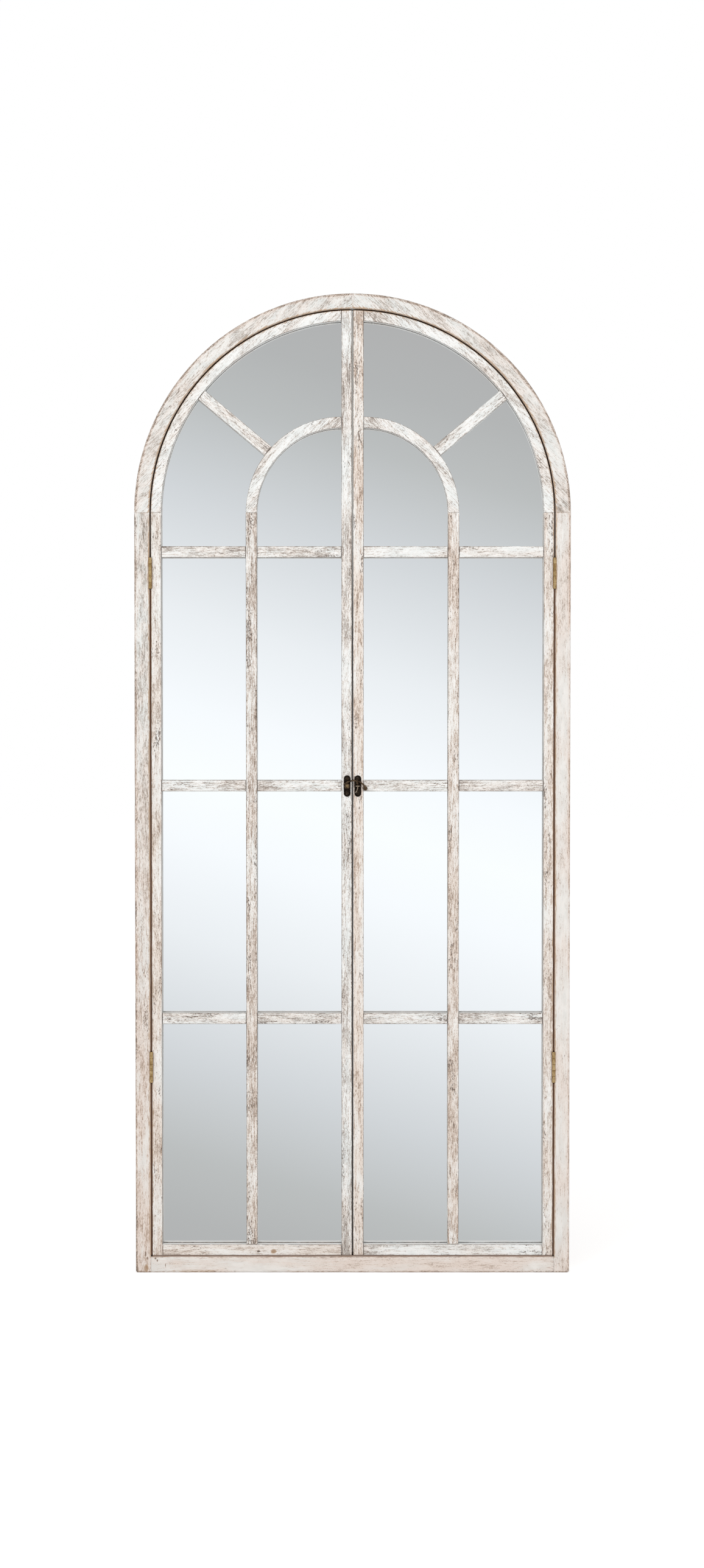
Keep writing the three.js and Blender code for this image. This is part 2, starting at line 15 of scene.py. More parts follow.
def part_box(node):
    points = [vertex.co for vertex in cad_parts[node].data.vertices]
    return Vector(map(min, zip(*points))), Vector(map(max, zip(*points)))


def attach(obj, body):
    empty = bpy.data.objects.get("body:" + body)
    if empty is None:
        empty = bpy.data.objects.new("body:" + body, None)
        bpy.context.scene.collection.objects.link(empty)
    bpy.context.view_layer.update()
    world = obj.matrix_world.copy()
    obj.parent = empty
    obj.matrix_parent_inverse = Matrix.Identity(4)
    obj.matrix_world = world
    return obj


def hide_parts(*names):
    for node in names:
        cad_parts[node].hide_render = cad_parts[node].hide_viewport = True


ops = bmesh.ops
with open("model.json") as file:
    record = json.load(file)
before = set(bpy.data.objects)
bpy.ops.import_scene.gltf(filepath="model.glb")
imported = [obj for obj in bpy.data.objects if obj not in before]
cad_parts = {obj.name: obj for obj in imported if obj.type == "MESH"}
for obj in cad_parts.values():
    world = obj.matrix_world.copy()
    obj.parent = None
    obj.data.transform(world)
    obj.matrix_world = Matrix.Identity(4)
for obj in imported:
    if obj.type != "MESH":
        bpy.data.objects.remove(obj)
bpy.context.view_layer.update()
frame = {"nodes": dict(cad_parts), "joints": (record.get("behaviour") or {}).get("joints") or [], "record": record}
NODES = frame["nodes"]
BODY_OF = {n: b for b, members in frame["record"]["behaviour"]["bodies"].items() for n in members}
JOINTS = {j["name"]: j for j in frame["joints"]}

MM = 0.001
TOUCHING, NEARLY_TOUCHING = 0.002 * MM, 0.005 * MM
SHARP_TURN = 32.0
LEFT, RIGHT = "left", "right"
SIDE = {LEFT: -1, RIGHT: 1}

# ---------------- sizes, read from the frame

FRAME_LOW, FRAME_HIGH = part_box("frame_right_stile")
OUTER_RADIUS = FRAME_HIGH.x
OPENING_RADIUS = FRAME_LOW.x
SPRINGLINE = FRAME_HIGH.z
FRONT_Y = FRAME_LOW.y
RAIL_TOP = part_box("frame_bottom_rail")[1].z
SASH_LOW, SASH_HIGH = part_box("right_sash_hinge_stile")
SASH_RADIUS = SASH_HIGH.x
SASH_FRONT_Y = SASH_LOW.y
SASH_FOOT = SASH_LOW.z
SEAM_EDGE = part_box("right_sash_meeting_stile")[0].x
GLASS_LOW, GLASS_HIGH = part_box("mirror_glass")
BOARD_BACK_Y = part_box("backboard")[1].y


# ---------------- small helpers

def link(thing):
    bpy.context.scene.collection.objects.link(thing)
    return thing


def front_view(u, v, depth):
    """A point from its place on a front and its depth."""
    return Vector((u, depth, v))


def quarter(steps):
    """The angles of a quarter turn."""
    return [pi / 2 * i / steps for i in range(steps + 1)]


def linear(red, green, blue):
    """A screen colour, 0 to 255, as the linear one that a shader takes."""
    def channel(value):
        share = value / 255
        return share / 12.92 if share <= 0.04045 else ((share + 0.055) / 1.055) ** 2.4
    return (channel(red), channel(green), channel(blue), 1.0)


# ---------------- shader nodes

class Board:
    """A node tree with short ways to add and join its nodes."""

    def __init__(self, tree):
        self.tree = tree

    def node(self, kind, **settings):
        made = self.tree.nodes.new(kind)
        for name, value in settings.items():
            setattr(made, name, value)
        return made

    def feed(self, socket, value):
        if isinstance(value, bpy.types.NodeSocket):
            self.tree.links.new(value, socket)
        elif value is not None:
            socket.default_value = value

    def feed_all(self, node, **values):
        """Feeds a node's inputs by their names, with _ for a space."""
        for label, value in values.items():
            self.feed(node.inputs[label.replace("_", " ")], value)

    def math(self, operation, a, b=None, c=None):
        made = self.node("ShaderNodeMath", operation=operation)
        for socket, value in zip(made.inputs, (a, b, c)):
            self.feed(socket, value)
        return made.outputs[0]

    def vector(self, operation, a, b=None):
        made = self.node("ShaderNodeVectorMath", operation=operation)
        for socket, value in zip(made.inputs, (a, b)):
            self.feed(socket, value)
        return made.outputs["Value" if operation == "LENGTH" else "Vector"]

    def between(self, value, low, high, start=0.0, end=1.0):
        """value, eased from start at low to end at high."""
        made = self.node("ShaderNodeMapRange", interpolation_type="SMOOTHSTEP")
        self.feed_all(made, Value=value, From_Min=low, From_Max=high, To_Min=start, To_Max=end)
        return made.outputs["Result"]

    def noise(self, where, scale, detail=2.0, roughness=0.5, stretch=None, distortion=0.0):
        if stretch is not None:
            where = self.vector("MULTIPLY", where, stretch)
        made = self.node("ShaderNodeTexNoise")
        self.feed_all(made, Vector=where, Scale=scale, Detail=detail, Roughness=roughness, Distortion=distortion)
        return made.outputs["Fac"]

    def mix(self, share, under, over):
        made = self.node("ShaderNodeMix", data_type="RGBA")
        self.feed(made.inputs["Factor"], share)
        self.feed(made.inputs[6], under)
        self.feed(made.inputs[7], over)
        return made.outputs[2]

    def ramp(self, value, stops):
        made = self.node("ShaderNodeValToRGB")
        self.feed(made.inputs["Fac"], value)
        elements = made.color_ramp.elements
        while len(elements) < len(stops):
            elements.new(0.5)
        for element, (position, colour) in zip(elements, stops):
            element.position = position
            element.color = colour
        return made.outputs["Color"]

    def attribute(self, name, output="Fac"):
        return self.node("ShaderNodeAttribute", attribute_name=name).outputs[output]

    def place(self):
        return self.node("ShaderNodeTexCoord").outputs["Object"]

    def split(self, vector):
        made = self.node("ShaderNodeSeparateXYZ")
        self.feed(made.inputs[0], vector)
        return made.outputs

    def bump(self, height, strength, distance):
        made = self.node("ShaderNodeBump")
        self.feed_all(made, Height=height, Strength=strength, Distance=distance)
        return made.outputs["Normal"]


def shader_group(name, inputs, outputs):
    """A new node group with its sockets: returns its board, its inputs by name and a way to set its outputs."""
    tree = bpy.data.node_groups.new(name, "ShaderNodeTree")
    kinds = {"value": "NodeSocketFloat", "colour": "NodeSocketColor", "vector": "NodeSocketVector"}
    for label, kind in inputs.items():
        tree.interface.new_socket(label, in_out="INPUT", socket_type=kinds[kind])
    for label, kind in outputs.items():
        tree.interface.new_socket(label, in_out="OUTPUT", socket_type=kinds[kind])
    board = Board(tree)
    entry = board.node("NodeGroupInput")
    result = board.node("NodeGroupOutput")
    return board, {label: entry.outputs[label] for label in inputs}, result.inputs


def material(name, **values):
    """A new material with values for its Principled BSDF: returns it, its board and the BSDF."""
    made = bpy.data.materials.new(name)
    made.use_nodes = True
    board, skin = Board(made.node_tree), made.node_tree.nodes["Principled BSDF"]
    board.feed_all(skin, **values)
    return made, board, skin


# ---------------- whitewashed wood

# Dark brown where the Stain mask is high: real stain in the ochre marks, and deep in the gaps raw wood with painted
# shade.
DARK_STAIN_AND_GAP_SHADE = linear(122, 86, 60)
TAN_STAIN = linear(186, 158, 130)


def whitewash_group():
    """White paint rubbed back over brown wood. The grain runs along X of Grain; Arris is 1 on rubbed edges."""
    inputs = {"Grain": "vector"}
    inputs.update(dict.fromkeys(("Arris", "Worn", "Stain", "Warmth"), "value"))
    inputs.update(dict.fromkeys(("Wash", "Cool", "Warm", "Wood", "Brown", "Deep"), "colour"))
    inputs.update(dict.fromkeys(("Rub", "Streaks", "Chips"), "value"))
    board, given, result = shader_group("whitewash", inputs,
                                        {"Color": "colour", "Roughness": "value", "Height": "value"})
    mix, between, grain = board.mix, board.between, given["Grain"]

    def run(along, across, detail=2.0, roughness=0.5, distortion=0.0):
        """Noise drawn out along the grain, centred on 0 with a spread of about 1: sizes in millimetres."""
        stretch = (1000 / along, 1000 / across, 1000 / across)
        field = board.noise(grain, 1.0, detail, roughness, stretch, distortion)
        return board.math("MULTIPLY", board.math("SUBTRACT", field, 0.5), 8.0)

    zone = run(110, 26, detail=1.0)
    patch = run(30, 10, detail=3.0, roughness=0.6, distortion=0.3)
    streak = run(38, 3.4, detail=2.0, roughness=0.55, distortion=0.1)
    brushed = run(42, 1.8, detail=2.0, roughness=0.5)
    fine = run(8, 1.4, detail=2.0, roughness=0.6)
    grit = run(2.8, 1.3, detail=1.0)
    chip = run(6, 1.9, detail=1.0, distortion=0.25)
    fleck = run(3.4, 1.6, detail=0.0)
    crowd = run(80, 15, detail=1.0)

    def reach(*parts):
        """The weighted sum of some fields: how far the paint is rubbed through."""
        total = 0.0
        for weight, field in parts:
            total = board.math("MULTIPLY_ADD", field, weight, total)
        return total

    wash = mix(between(patch, -1.2, 1.0), given["Wash"], given["Cool"])
    wash = mix(between(zone, -0.8, 1.2, 0.0, 0.28), wash, given["Warm"])
    mottle = between(reach((0.6, zone), (0.5, patch), (0.35, brushed)), -1.6, 1.2, 0.25, 1.0)
    wash = mix(board.math("MULTIPLY", given["Warmth"], mottle), wash, given["Warm"])
    wood = mix(given["Warmth"], given["Wood"], given["Brown"])

    worn_arris = board.math("MULTIPLY", board.math("POWER", given["Arris"], 1.9), given["Rub"])
    rubbed = reach((1.15, fine), (0.7, grit), (0.75, brushed), (0.4, streak), (0.6, zone), (0.2, patch),
                   (1.5, worn_arris), (1.8, given["Worn"]), (1.0, given["Streaks"]))
    thin = between(rubbed, -1.2, 1.0)
    bare = between(rubbed, 0.6, 2.2)
    raw = between(rubbed, 1.9, 3.4)
    chipped = reach((0.65, chip), (0.65, fleck), (0.5, fine), (1.15, crowd), (0.35, streak), (1.2, worn_arris),
                    (1.1, given["Worn"]), (1.0, given["Chips"]))
    pits = between(chipped, 0.0, 1.1)

    tan = mix(between(patch, -0.6, 1.0), mix(0.35, given["Warm"], wood), wood)
    colour = mix(board.math("MULTIPLY", thin, 0.62), wash, tan)
    colour = mix(board.math("MULTIPLY", bare, 0.8), colour, wood)
    colour = mix(board.math("MULTIPLY", raw, 0.6), colour, given["Deep"])
    colour = mix(board.math("MULTIPLY", pits, 0.72), colour, given["Deep"])
    # The Stain mask brings tan and dark brown: real stain in the ochre marks and on the brown gap borders, and painted
    # shade deep in the gaps.
    stain_and_shade_share = between(reach((4.0, given["Stain"]), (0.35, brushed), (0.35, fine), (0.2, streak)), 1.1, 3.2)
    stain = mix(between(given["Stain"], 0.55, 0.95), TAN_STAIN, DARK_STAIN_AND_GAP_SHADE)
    colour = mix(stain_and_shade_share, colour, stain)
    board.feed(result["Color"], colour)

    board.feed(result["Roughness"], between(rubbed, -1.0, 3.0, 0.86, 0.68))
    board.feed(result["Height"], reach((-0.05, rubbed), (-0.35, thin), (-0.3, bare), (-0.6, pits)))
    return board.tree


WHITEWASH = whitewash_group()


def nearness(board, marks):
    """1 in the middle of some oval marks on the front, 0 outside them: x, z, half width, half height, strength."""
    place = board.place()
    total = 0.0
    for x, z, half_width, half_height, strength in marks:
        away = board.vector("SUBTRACT", place, (x, 0, z))
        away = board.vector("LENGTH", board.vector("MULTIPLY", away, (1 / half_width, 0, 1 / half_height)))
        total = board.math("MAXIMUM", total, board.between(away, 0.3, 1.0, strength, 0.0))
    return total


def whitewashed(name, nicks, ochre, colours, **amounts):
    """The whitewash in its own colours, with nicks to the wood and ochre places where nearness() puts them."""
    made, board, skin = material(name)
    masks = {label: board.attribute(label.lower()) for label in ("Arris", "Worn", "Stain", "Warmth")}
    masks["Worn"] = board.math("ADD", masks["Worn"], nearness(board, nicks))
    masks["Stain"] = board.math("MAXIMUM", masks["Stain"], nearness(board, ochre))
    wash = board.node("ShaderNodeGroup", node_tree=WHITEWASH)
    board.feed_all(wash, Grain=board.attribute("grain", "Vector"), **masks, **amounts,
                   **{label: linear(*screen) for label, screen in colours.items()})
    board.feed_all(skin, Base_Color=wash.outputs["Color"], Roughness=wash.outputs["Roughness"],
                   Normal=board.bump(wash.outputs["Height"], 0.7, 0.4 * MM))
    return made


FRAME_WOOD = whitewashed(
    "whitewashed frame",
    [(-0.381, 0.035, 0.0022, 0.0065, 3.0), (-0.3775, 0.027, 0.0016, 0.004, 2.8),
     (-0.3630, 0.0262, 0.0028, 0.0024, 3.4), (-0.3596, 0.0225, 0.0018, 0.0030, 3.4),
     (-0.3448, 0.0134, 0.0012, 0.0045, 2.8)],
    [(-0.3800, 0.0085, 0.0085, 0.0125, 0.7), (-0.29, 0.0025, 0.09, 0.0075, 0.5)],
    {"Wash": (233, 231, 227), "Cool": (221, 222, 219), "Warm": (226, 210, 199), "Wood": (168, 159, 150),
     "Brown": (178, 154, 136), "Deep": (112, 97, 86)},
    Rub=1.8, Streaks=-0.75, Chips=-3.1,
)
SASH_WOOD = whitewashed(
    "whitewashed sash", [(-0.173, 0.0395, 0.004, 0.0035, 2.6)], [(-0.1455, 0.0395, 0.009, 0.0075, 0.72)],
    {"Wash": (240, 240, 238), "Cool": (228, 230, 228), "Warm": (231, 218, 207), "Wood": (160, 148, 139),
     "Brown": (172, 149, 131), "Deep": (96, 83, 75)},
    Rub=2.0, Streaks=-0.58, Chips=-2.4,
)


# ---------------- shape helpers

def finish_piece(name, bm, look, body, replaces=(), sharp=SHARP_TURN):
    """Makes an object of a bmesh, gives it its look and ties it to its body."""
    ops.remove_doubles(bm, verts=bm.verts, dist=TOUCHING)
    ops.recalc_face_normals(bm, faces=bm.faces)
    mesh = bpy.data.meshes.new(name)
    bm.to_mesh(mesh)
    bm.free()
    mesh.materials.append(look)
    mesh.shade_smooth()
    mesh.set_sharp_from_angle(angle=radians(sharp))
    piece = link(bpy.data.objects.new(name, mesh))
    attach(piece, body)
    if replaces:
        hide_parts(*replaces)


def spun(bm, profile, place, axis, sides=40):
    """Turns a profile of (radius, along) points about an axis through a place."""
    axis = Vector(axis).normalized()
    outward = axis.orthogonal().normalized()
    points = [bm.verts.new(place + outward * radius + axis * along) for radius, along in profile]
    edges = [bm.edges.new(pair) for pair in zip(points, points[1:])]
    ops.spin(bm, geom=points + edges, cent=place, axis=axis, angle=2 * pi, steps=sides, use_merge=True)


def dome(radius, height, rim, steps=6):
    """A low crown from its centre out to its rim, for spun(): it stands height above a rim of that depth."""
    return [(radius * sin(a), height * cos(a)) for a in quarter(steps)] + [(radius, -rim)]


def swept(bm, stations, normal, sides=20):
    """A bar through stations of (centre, radius), whose path lies in the plane with this normal; round ends."""
    normal = Vector(normal).normalized()
    centres = [Vector(c) for c, _ in stations]
    ways = [(centres[min(i + 1, len(centres) - 1)] - centres[max(i - 1, 0)]).normalized() for i in range(len(centres))]
    rings = [(centre, way, radius) for centre, way, (_, radius) in zip(centres, ways, stations)]
    first, last = rings[0], rings[-1]
    caps = (80, 60, 40, 20)
    start = [(first[0] - first[1] * first[2] * sin(radians(a)), first[1], first[2] * cos(radians(a))) for a in caps]
    end = [(last[0] + last[1] * last[2] * sin(radians(a)), last[1], last[2] * cos(radians(a)))
           for a in reversed(caps)]
    before = None
    for index, (centre, way, radius) in enumerate(start + rings + end):
        side = way.cross(normal)
        turn = Matrix((normal * radius, side * radius, way * radius)).transposed().to_4x4()
        capped = index in (0, len(rings) + 2 * len(caps) - 1)
        ring = ops.create_circle(bm, cap_ends=capped, radius=1.0, segments=sides,
                                 matrix=Matrix.Translation(centre) @ turn)
        edges = list({e for v in ring["verts"] for e in v.link_edges})
        if before:
            ops.bridge_loops(bm, edges=before + edges)
        before = edges


def arc_points(x, z, radius, start, end, steps):
    """Points of an arc in degrees, as (x, z)."""
    return [(x + radius * cos(radians(start + (end - start) * i / steps)),
             z + radius * sin(radians(start + (end - start) * i / steps))) for i in range(steps + 1)]


def stadium_points(x, z, radius, length, steps=20):
    """An upright stadium about its middle; length is between the centres of its round ends."""
    return (arc_points(x, z + length / 2, radius, 0, 180, steps)
            + arc_points(x, z - length / 2, radius, 180, 360, steps))


def verts_of(result):
    return [v for v in result["geom"] if isinstance(v, bmesh.types.BMVert)]


def raised(bm, faces, way):
    """Draws some faces out along way: returns the points that moved."""
    moved = verts_of(ops.extrude_face_region(bm, geom=faces, use_keep_orig=True))
    ops.translate(bm, verts=moved, vec=way)
    return moved


def tilted(tilt, place):
    """place, with its u and v turned by an angle in degrees."""
    turn = radians(tilt)
    return lambda u, v, depth: place(u * cos(turn) - v * sin(turn), u * sin(turn) + v * cos(turn), depth)


def pierced_sheet(bm, outline, holes, near, far, place, easing, steps=3):
    """A sheet with holes between two depths; place turns (u, v, depth) into a point. Its far side is eased."""
    edges = []
    for loop in [outline] + holes:
        verts = [bm.verts.new(place(u, v, near)) for u, v in loop]
        edges += [bm.edges.new((verts[i - 1], verts[i])) for i in range(len(verts))]
    ops.triangle_fill(bm, edges=edges, use_beauty=True, use_dissolve=False)
    top = set(raised(bm, bm.faces[:], place(0, 0, far) - place(0, 0, near)))
    ops.recalc_face_normals(bm, faces=bm.faces)
    rim = [e for e in bm.edges if e.verts[0] in top and e.verts[1] in top
           and len(e.link_faces) == 2 and e.calc_face_angle(0) > 1.0]
    ops.bevel(bm, geom=rim, offset=easing, segments=steps, profile=0.5, affect="EDGES", material=-1)


def slotted_head(bm, place, radius, slot, depth, rim, sides=28):
    """A flat screw head with a real slot; place turns (u, v, depth) into a point, depth 0 being its face."""
    outer = arc_points(0, 0, radius, 0, 360, sides)[:-1]
    half, reach = slot / 2, radius * 0.86
    groove = [(-reach, -half), (reach, -half), (reach, half), (-reach, half)]
    loops = []
    for loop in (outer, groove):
        verts = [bm.verts.new(place(u, v, 0)) for u, v in loop]
        loops.append([bm.edges.new((verts[i - 1], verts[i])) for i in range(len(verts))])
    ops.triangle_fill(bm, edges=loops[0] + loops[1], use_beauty=True, use_dissolve=False)
    for edges, sink in ((loops[0], rim), (loops[1], depth)):
        wall = ops.extrude_edge_only(bm, edges=edges)
        ops.translate(bm, verts=verts_of(wall), vec=place(0, 0, sink) - place(0, 0, 0))
        floor_edges = [e for e in wall["geom"] if isinstance(e, bmesh.types.BMEdge)]
        ops.edgeloop_fill(bm, edges=floor_edges)


# ---------------- worn wooden members

SLICE = 6 * MM
BORDER = 3.2 * MM
NARROW_BORDER = 0.45 * MM
SMOOTH_TURN = radians(8)
STRIP, EDGE_RING = 1, 2
JOINT_REACH = 45 * MM
JOINT_WEAR = 0.45
JOINT_STILL = 1.2 * MM
STRIP_WIDTH = 4 * MM
FOOT_CORNER, FOOT_CUT = 5 * MM, 8 * MM
SCREW_REACH = 13.5 * MM


def sides_of(bm):
    """The faces of a mesh in groups that run smoothly into each other; flat fronts and backs stay by themselves."""
    def flat(face):
        return abs(face.normal.y) > 0.999

    left, groups = set(bm.faces), []
    while left:
        group, frontier = set(), [left.pop()]
        while frontier:
            face = frontier.pop()
            group.add(face)
            for other in (f for e in face.edges for f in e.link_faces):
                if (other in left and flat(face) == flat(other)
                        and face.normal.angle(other.normal, 0) < SMOOTH_TURN):
                    left.discard(other)
                    frontier.append(other)
        groups.append(group)
    return groups


def mean_width(group):
    rim = [e for f in group for e in f.edges if sum(o in group for o in e.link_faces) == 1]
    return 2 * sum(f.calc_area() for f in group) / max(sum(e.calc_length() for e in rim), MM)


def ring_centre(node):
    """The middle of the arc that a curved member follows, or None."""
    if node.startswith("frame_") and node.endswith("_arch") or node.endswith("_arch_rail"):
        return Vector((0, 0, SPRINGLINE))
    if node.endswith("_inner_arch"):
        return fan_centre(LEFT if node.startswith(LEFT) else RIGHT)
    return None


def fan_centre(side):
    low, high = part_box(f"{side}_sash_meeting_stile")
    return Vector((low.x if side == LEFT else high.x, 0, SPRINGLINE))


def slice_planes(node):
    """Points and normals of the cuts across a member that let its arrises wander."""
    low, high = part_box(node)
    centre = ring_centre(node)
    if centre is not None:
        radius = max(high.x - centre.x, centre.x - low.x)
        count = int(radius * pi / 2 / SLICE)
        turn = pi / 2 / count
        return [(centre, Vector((sin(i * turn), 0, cos(i * turn) * (1 if low.x + high.x < 0 else -1))))
                for i in range(1, count)]
    along = Vector((1, 0, 0)) if high.x - low.x > high.z - low.z else Vector((0, 0, 1))
    length = (high - low).dot(along)
    if node.endswith("_spoke"):
        along = (Vector(((low.x + high.x) / 2, 0, (low.z + high.z) / 2)) - fan_centre(LEFT if low.x < 0 else RIGHT))
        along.normalize()
        length = (high - low).length
    middle = (low + high) / 2
    count = int(length / SLICE)
    return [(middle + along * (i / count - 0.5) * length, along) for i in range(1, count)]


def ends_of(node):
    """The two ends of a member's centre line."""
    low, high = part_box(node)
    middle = (low + high) / 2
    centre = ring_centre(node)
    if centre is not None:
        outward = 1 if middle.x > 0 else -1
        foot = high.x if outward > 0 else low.x
        return [Vector((foot, middle.y, low.z)), Vector((centre.x, middle.y, high.z))]
    if node.endswith("_spoke"):
        outward = 1 if middle.x > 0 else -1
        return [Vector((low.x, middle.y, low.z if outward > 0 else high.z)),
                Vector((high.x, middle.y, high.z if outward > 0 else low.z))]
    if high.x - low.x > high.z - low.z:
        return [Vector((low.x, middle.y, middle.z)), Vector((high.x, middle.y, middle.z))]
    return [Vector((middle.x, middle.y, low.z)), Vector((middle.x, middle.y, high.z))]


def grain_turn(node):
    """How a member's grain lies: degrees from +X towards +Z."""
    outward = 1 if node.startswith("right") or "_right" in node else -1
    if ring_centre(node) is not None:
        return -45 * outward
    if node.endswith("_spoke"):
        return 40 * outward
    return 90 if "stile" in node or "mullion" in node else 0


# places that hands, feet and weather have rubbed: x, z, radius and strength
WORN_PLACES = [
    (-0.382, 0.011, 0.014, 0.6), (-0.36, 0.003, 0.014, 0.5), (-0.33, 0.002, 0.012, 0.55),
    (0.379, 1.40, 0.030, 0.62), (0.376, 1.33, 0.022, 0.5), (0.05, 1.770, 0.028, 0.58),
    (0.095, 1.762, 0.024, 0.5), (0.165, 1.745, 0.022, 0.55), (-0.205, 1.715, 0.022, 0.45),
    (0.375, 0.02, 0.020, 0.5), (-0.012, 1.735, 0.016, 0.4), (0.21, 0.49, 0.018, 0.35),
    (-0.19, 0.90, 0.018, 0.35), (-0.185, 0.385, 0.036, 0.85), (-0.185, 0.315, 0.034, 0.8),
    (-0.185, 0.195, 0.018, 0.6),
]

# how much more or less than the rest a member is rubbed, at its foot and at its head, and how far its paint has
# turned pink and cream there
BOARDS = {
    "frame_left_stile": (0.25, 0.4, 1.0, 0.0),
    "frame_left_arch": (0.1, 0.1, 0.08, 0.05),
    "frame_right_arch": (0.1, 0.1, 0.08, 0.05),
    "frame_right_stile": (-0.4, -0.35, 0.65, 0.45),
    "frame_bottom_rail": (-0.5, -0.5, 0.8, 0.8),
    "left_sash_hinge_stile": (0.15, 0.25, 0.9, 0.5),
    "left_sash_meeting_stile": (0.3, 0.3, 0.08, 0.05),
    "left_sash_mullion": (0.45, 0.8, 0.8, 0.6),
    "left_sash_bottom_rail": (-0.15, -0.15, 0.7, 0.7),
    "right_sash_hinge_stile": (0.2, 0.25, 0.8, 0.75),
    "right_sash_meeting_stile": (0.0, 0.35, 1.0, 1.0),
    "right_sash_mullion": (0.5, 0.45, 0.95, 0.85),
    "right_sash_bottom_rail": (-0.25, -0.25, 0.08, 0.05),
    "left_sash_inner_bar_2": (0.25, 0.25, 0.08, 0.05),
    "left_sash_outer_bar_2": (0.25, 0.25, 0.08, 0.05),
    "left_sash_inner_bar_3": (0.2, 0.2, 0.08, 0.05),
    "right_sash_outer_bar_3": (-0.4, -0.4, 0.08, 0.05),
}
PLAIN_BOARD = (0.0, 0.0, 0.08, 0.05)
OUTSIDE_WARMTH = 0.6
# Side faces are rubbed less than fronts and lose their warmth: partly real, partly painted light that keeps them white
# beside the glass.
SIDE_WEAR_AND_LIGHT = -1.5
DEEPEST_DENT = {True: 1.1, False: 0.5}


def from_the_middle(point):
    """How far a place on the front is from the centre line, or above the springline from the arch's centre."""
    return hypot(point.x, point.z - SPRINGLINE) if point.z > SPRINGLINE else abs(point.x)


def worn_here(point):
    worn = 0.0
    for x, z, radius, strength in WORN_PLACES:
        away = hypot(point.x - x, point.z - z)
        worn = max(worn, strength * max(0.0, 1.25 - away / radius))
    return min(worn, 1.7)


def arris_wear(node, point):
    """How bare an arris is: most along the gap, least round the outside of the stiles."""
    if abs(point.z - SPRINGLINE) < 1.5 * MM:
        return 0.25
    if not node.startswith("frame_"):
        inner = node.endswith("_hinge_stile") and abs(point.x) < SASH_RADIUS - 8 * MM
        return (0.35 if point.z < SASH_FOOT + 19 * MM else 1.45) if inner else 1.0
    if from_the_middle(point) < OPENING_RADIUS + 8 * MM and point.z > RAIL_TOP - 8 * MM:
        return 1.0
    return 0.9 if point.z > SPRINGLINE else 0.8


def on_the_outside(node, point):
    """Whether a place is on the outer round-over of the frame, which is wide enough for deep dents."""
    return node.startswith("frame_") and from_the_middle(point) > OUTER_RADIUS - 6 * MM and point.z > 8 * MM


def gap_stain_and_shade(node, face, point):
    """1 deep in the gaps round and between the sashes: raw dark wood, with painted shade that darkens from the front of
    a gap to 3 mm into it.
    """
    edge, radius = 0.5 * MM, from_the_middle(point)
    in_seam = abs(point.x) < SEAM_EDGE + edge
    if node.startswith("frame_"):
        in_gap, front = radius < OPENING_RADIUS + edge and point.z > RAIL_TOP - edge, FRONT_Y
    else:
        in_gap, front = radius > SASH_RADIUS - edge or in_seam or point.z < SASH_FOOT + edge, SASH_FRONT_Y
    if not in_gap or abs(face.normal.y) >= 0.3:
        return 0.0
    # Painted shade: the stain darkens with depth into the gap.
    stain = min(max((point.y - front) / (3 * MM), 0.5), 1.0)
    # In the seam the painted shade fades above z = 1.15.
    if in_seam:
        stain *= min(max((1.45 - point.z) / 0.3, 0.2), 1.0)
    return stain


def gap_border(node, point):
    """How brown the front is along the gaps beside the sashes: most on the arris, a little behind it."""
    if node == "frame_bottom_rail" or point.z < RAIL_TOP - 2 * MM:
        return 0.0
    if node.startswith("frame_"):
        away, on_arris, behind = from_the_middle(point) - OPENING_RADIUS, 0.62, 0.2
    else:
        away, on_arris, behind = SASH_RADIUS - from_the_middle(point), 0.5, 0.14
    return on_arris if away < 2 * MM else behind if away < 6 * MM else 0.0


def stop_latch_holes(bm):
    """Fills the screw and rivet holes that the latch hides in the meeting stiles."""
    low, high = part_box("keeper_plate")
    across, middle = (low.x + high.x) / 2, (low.z + high.z) / 2

    def hidden(face):
        for v in face.verts:
            away = min(hypot(abs(v.co.x) - across, v.co.z - middle - step) for step in (-SCREW_REACH, 0, SCREW_REACH))
            if away > 3.4 * MM:
                return False
        return face.calc_center_median().y > SASH_FRONT_Y + 0.01 * MM

    ops.delete(bm, geom=[f for f in bm.faces if hidden(f)], context="FACES")
    ops.holes_fill(bm, edges=[e for e in bm.edges if e.is_boundary])


def plain_foot_corner(bm):
    """Leaves the small rounded corner at a stile's foot with few enough points to take a border."""
    faces = [f for f in bm.faces if f.normal.y < 0.9]
    geom = faces + list({e for f in faces for e in f.edges}) + list({v for f in faces for v in f.verts})
    ops.bisect_plane(bm, geom=geom, dist=TOUCHING, plane_co=(0, 0, FOOT_CUT), plane_no=(0, 0, 1))
    for in_front, reach in ((True, 2.0), (False, 1.0)):
        corner = [v for v in bm.verts if v.co.z < FOOT_CORNER and abs(v.co.x) > OUTER_RADIUS - FOOT_CORNER
                  and (not in_front or v.co.y == FRONT_Y)]
        ops.remove_doubles(bm, verts=corner, dist=reach * MM)
    bm.normal_update()


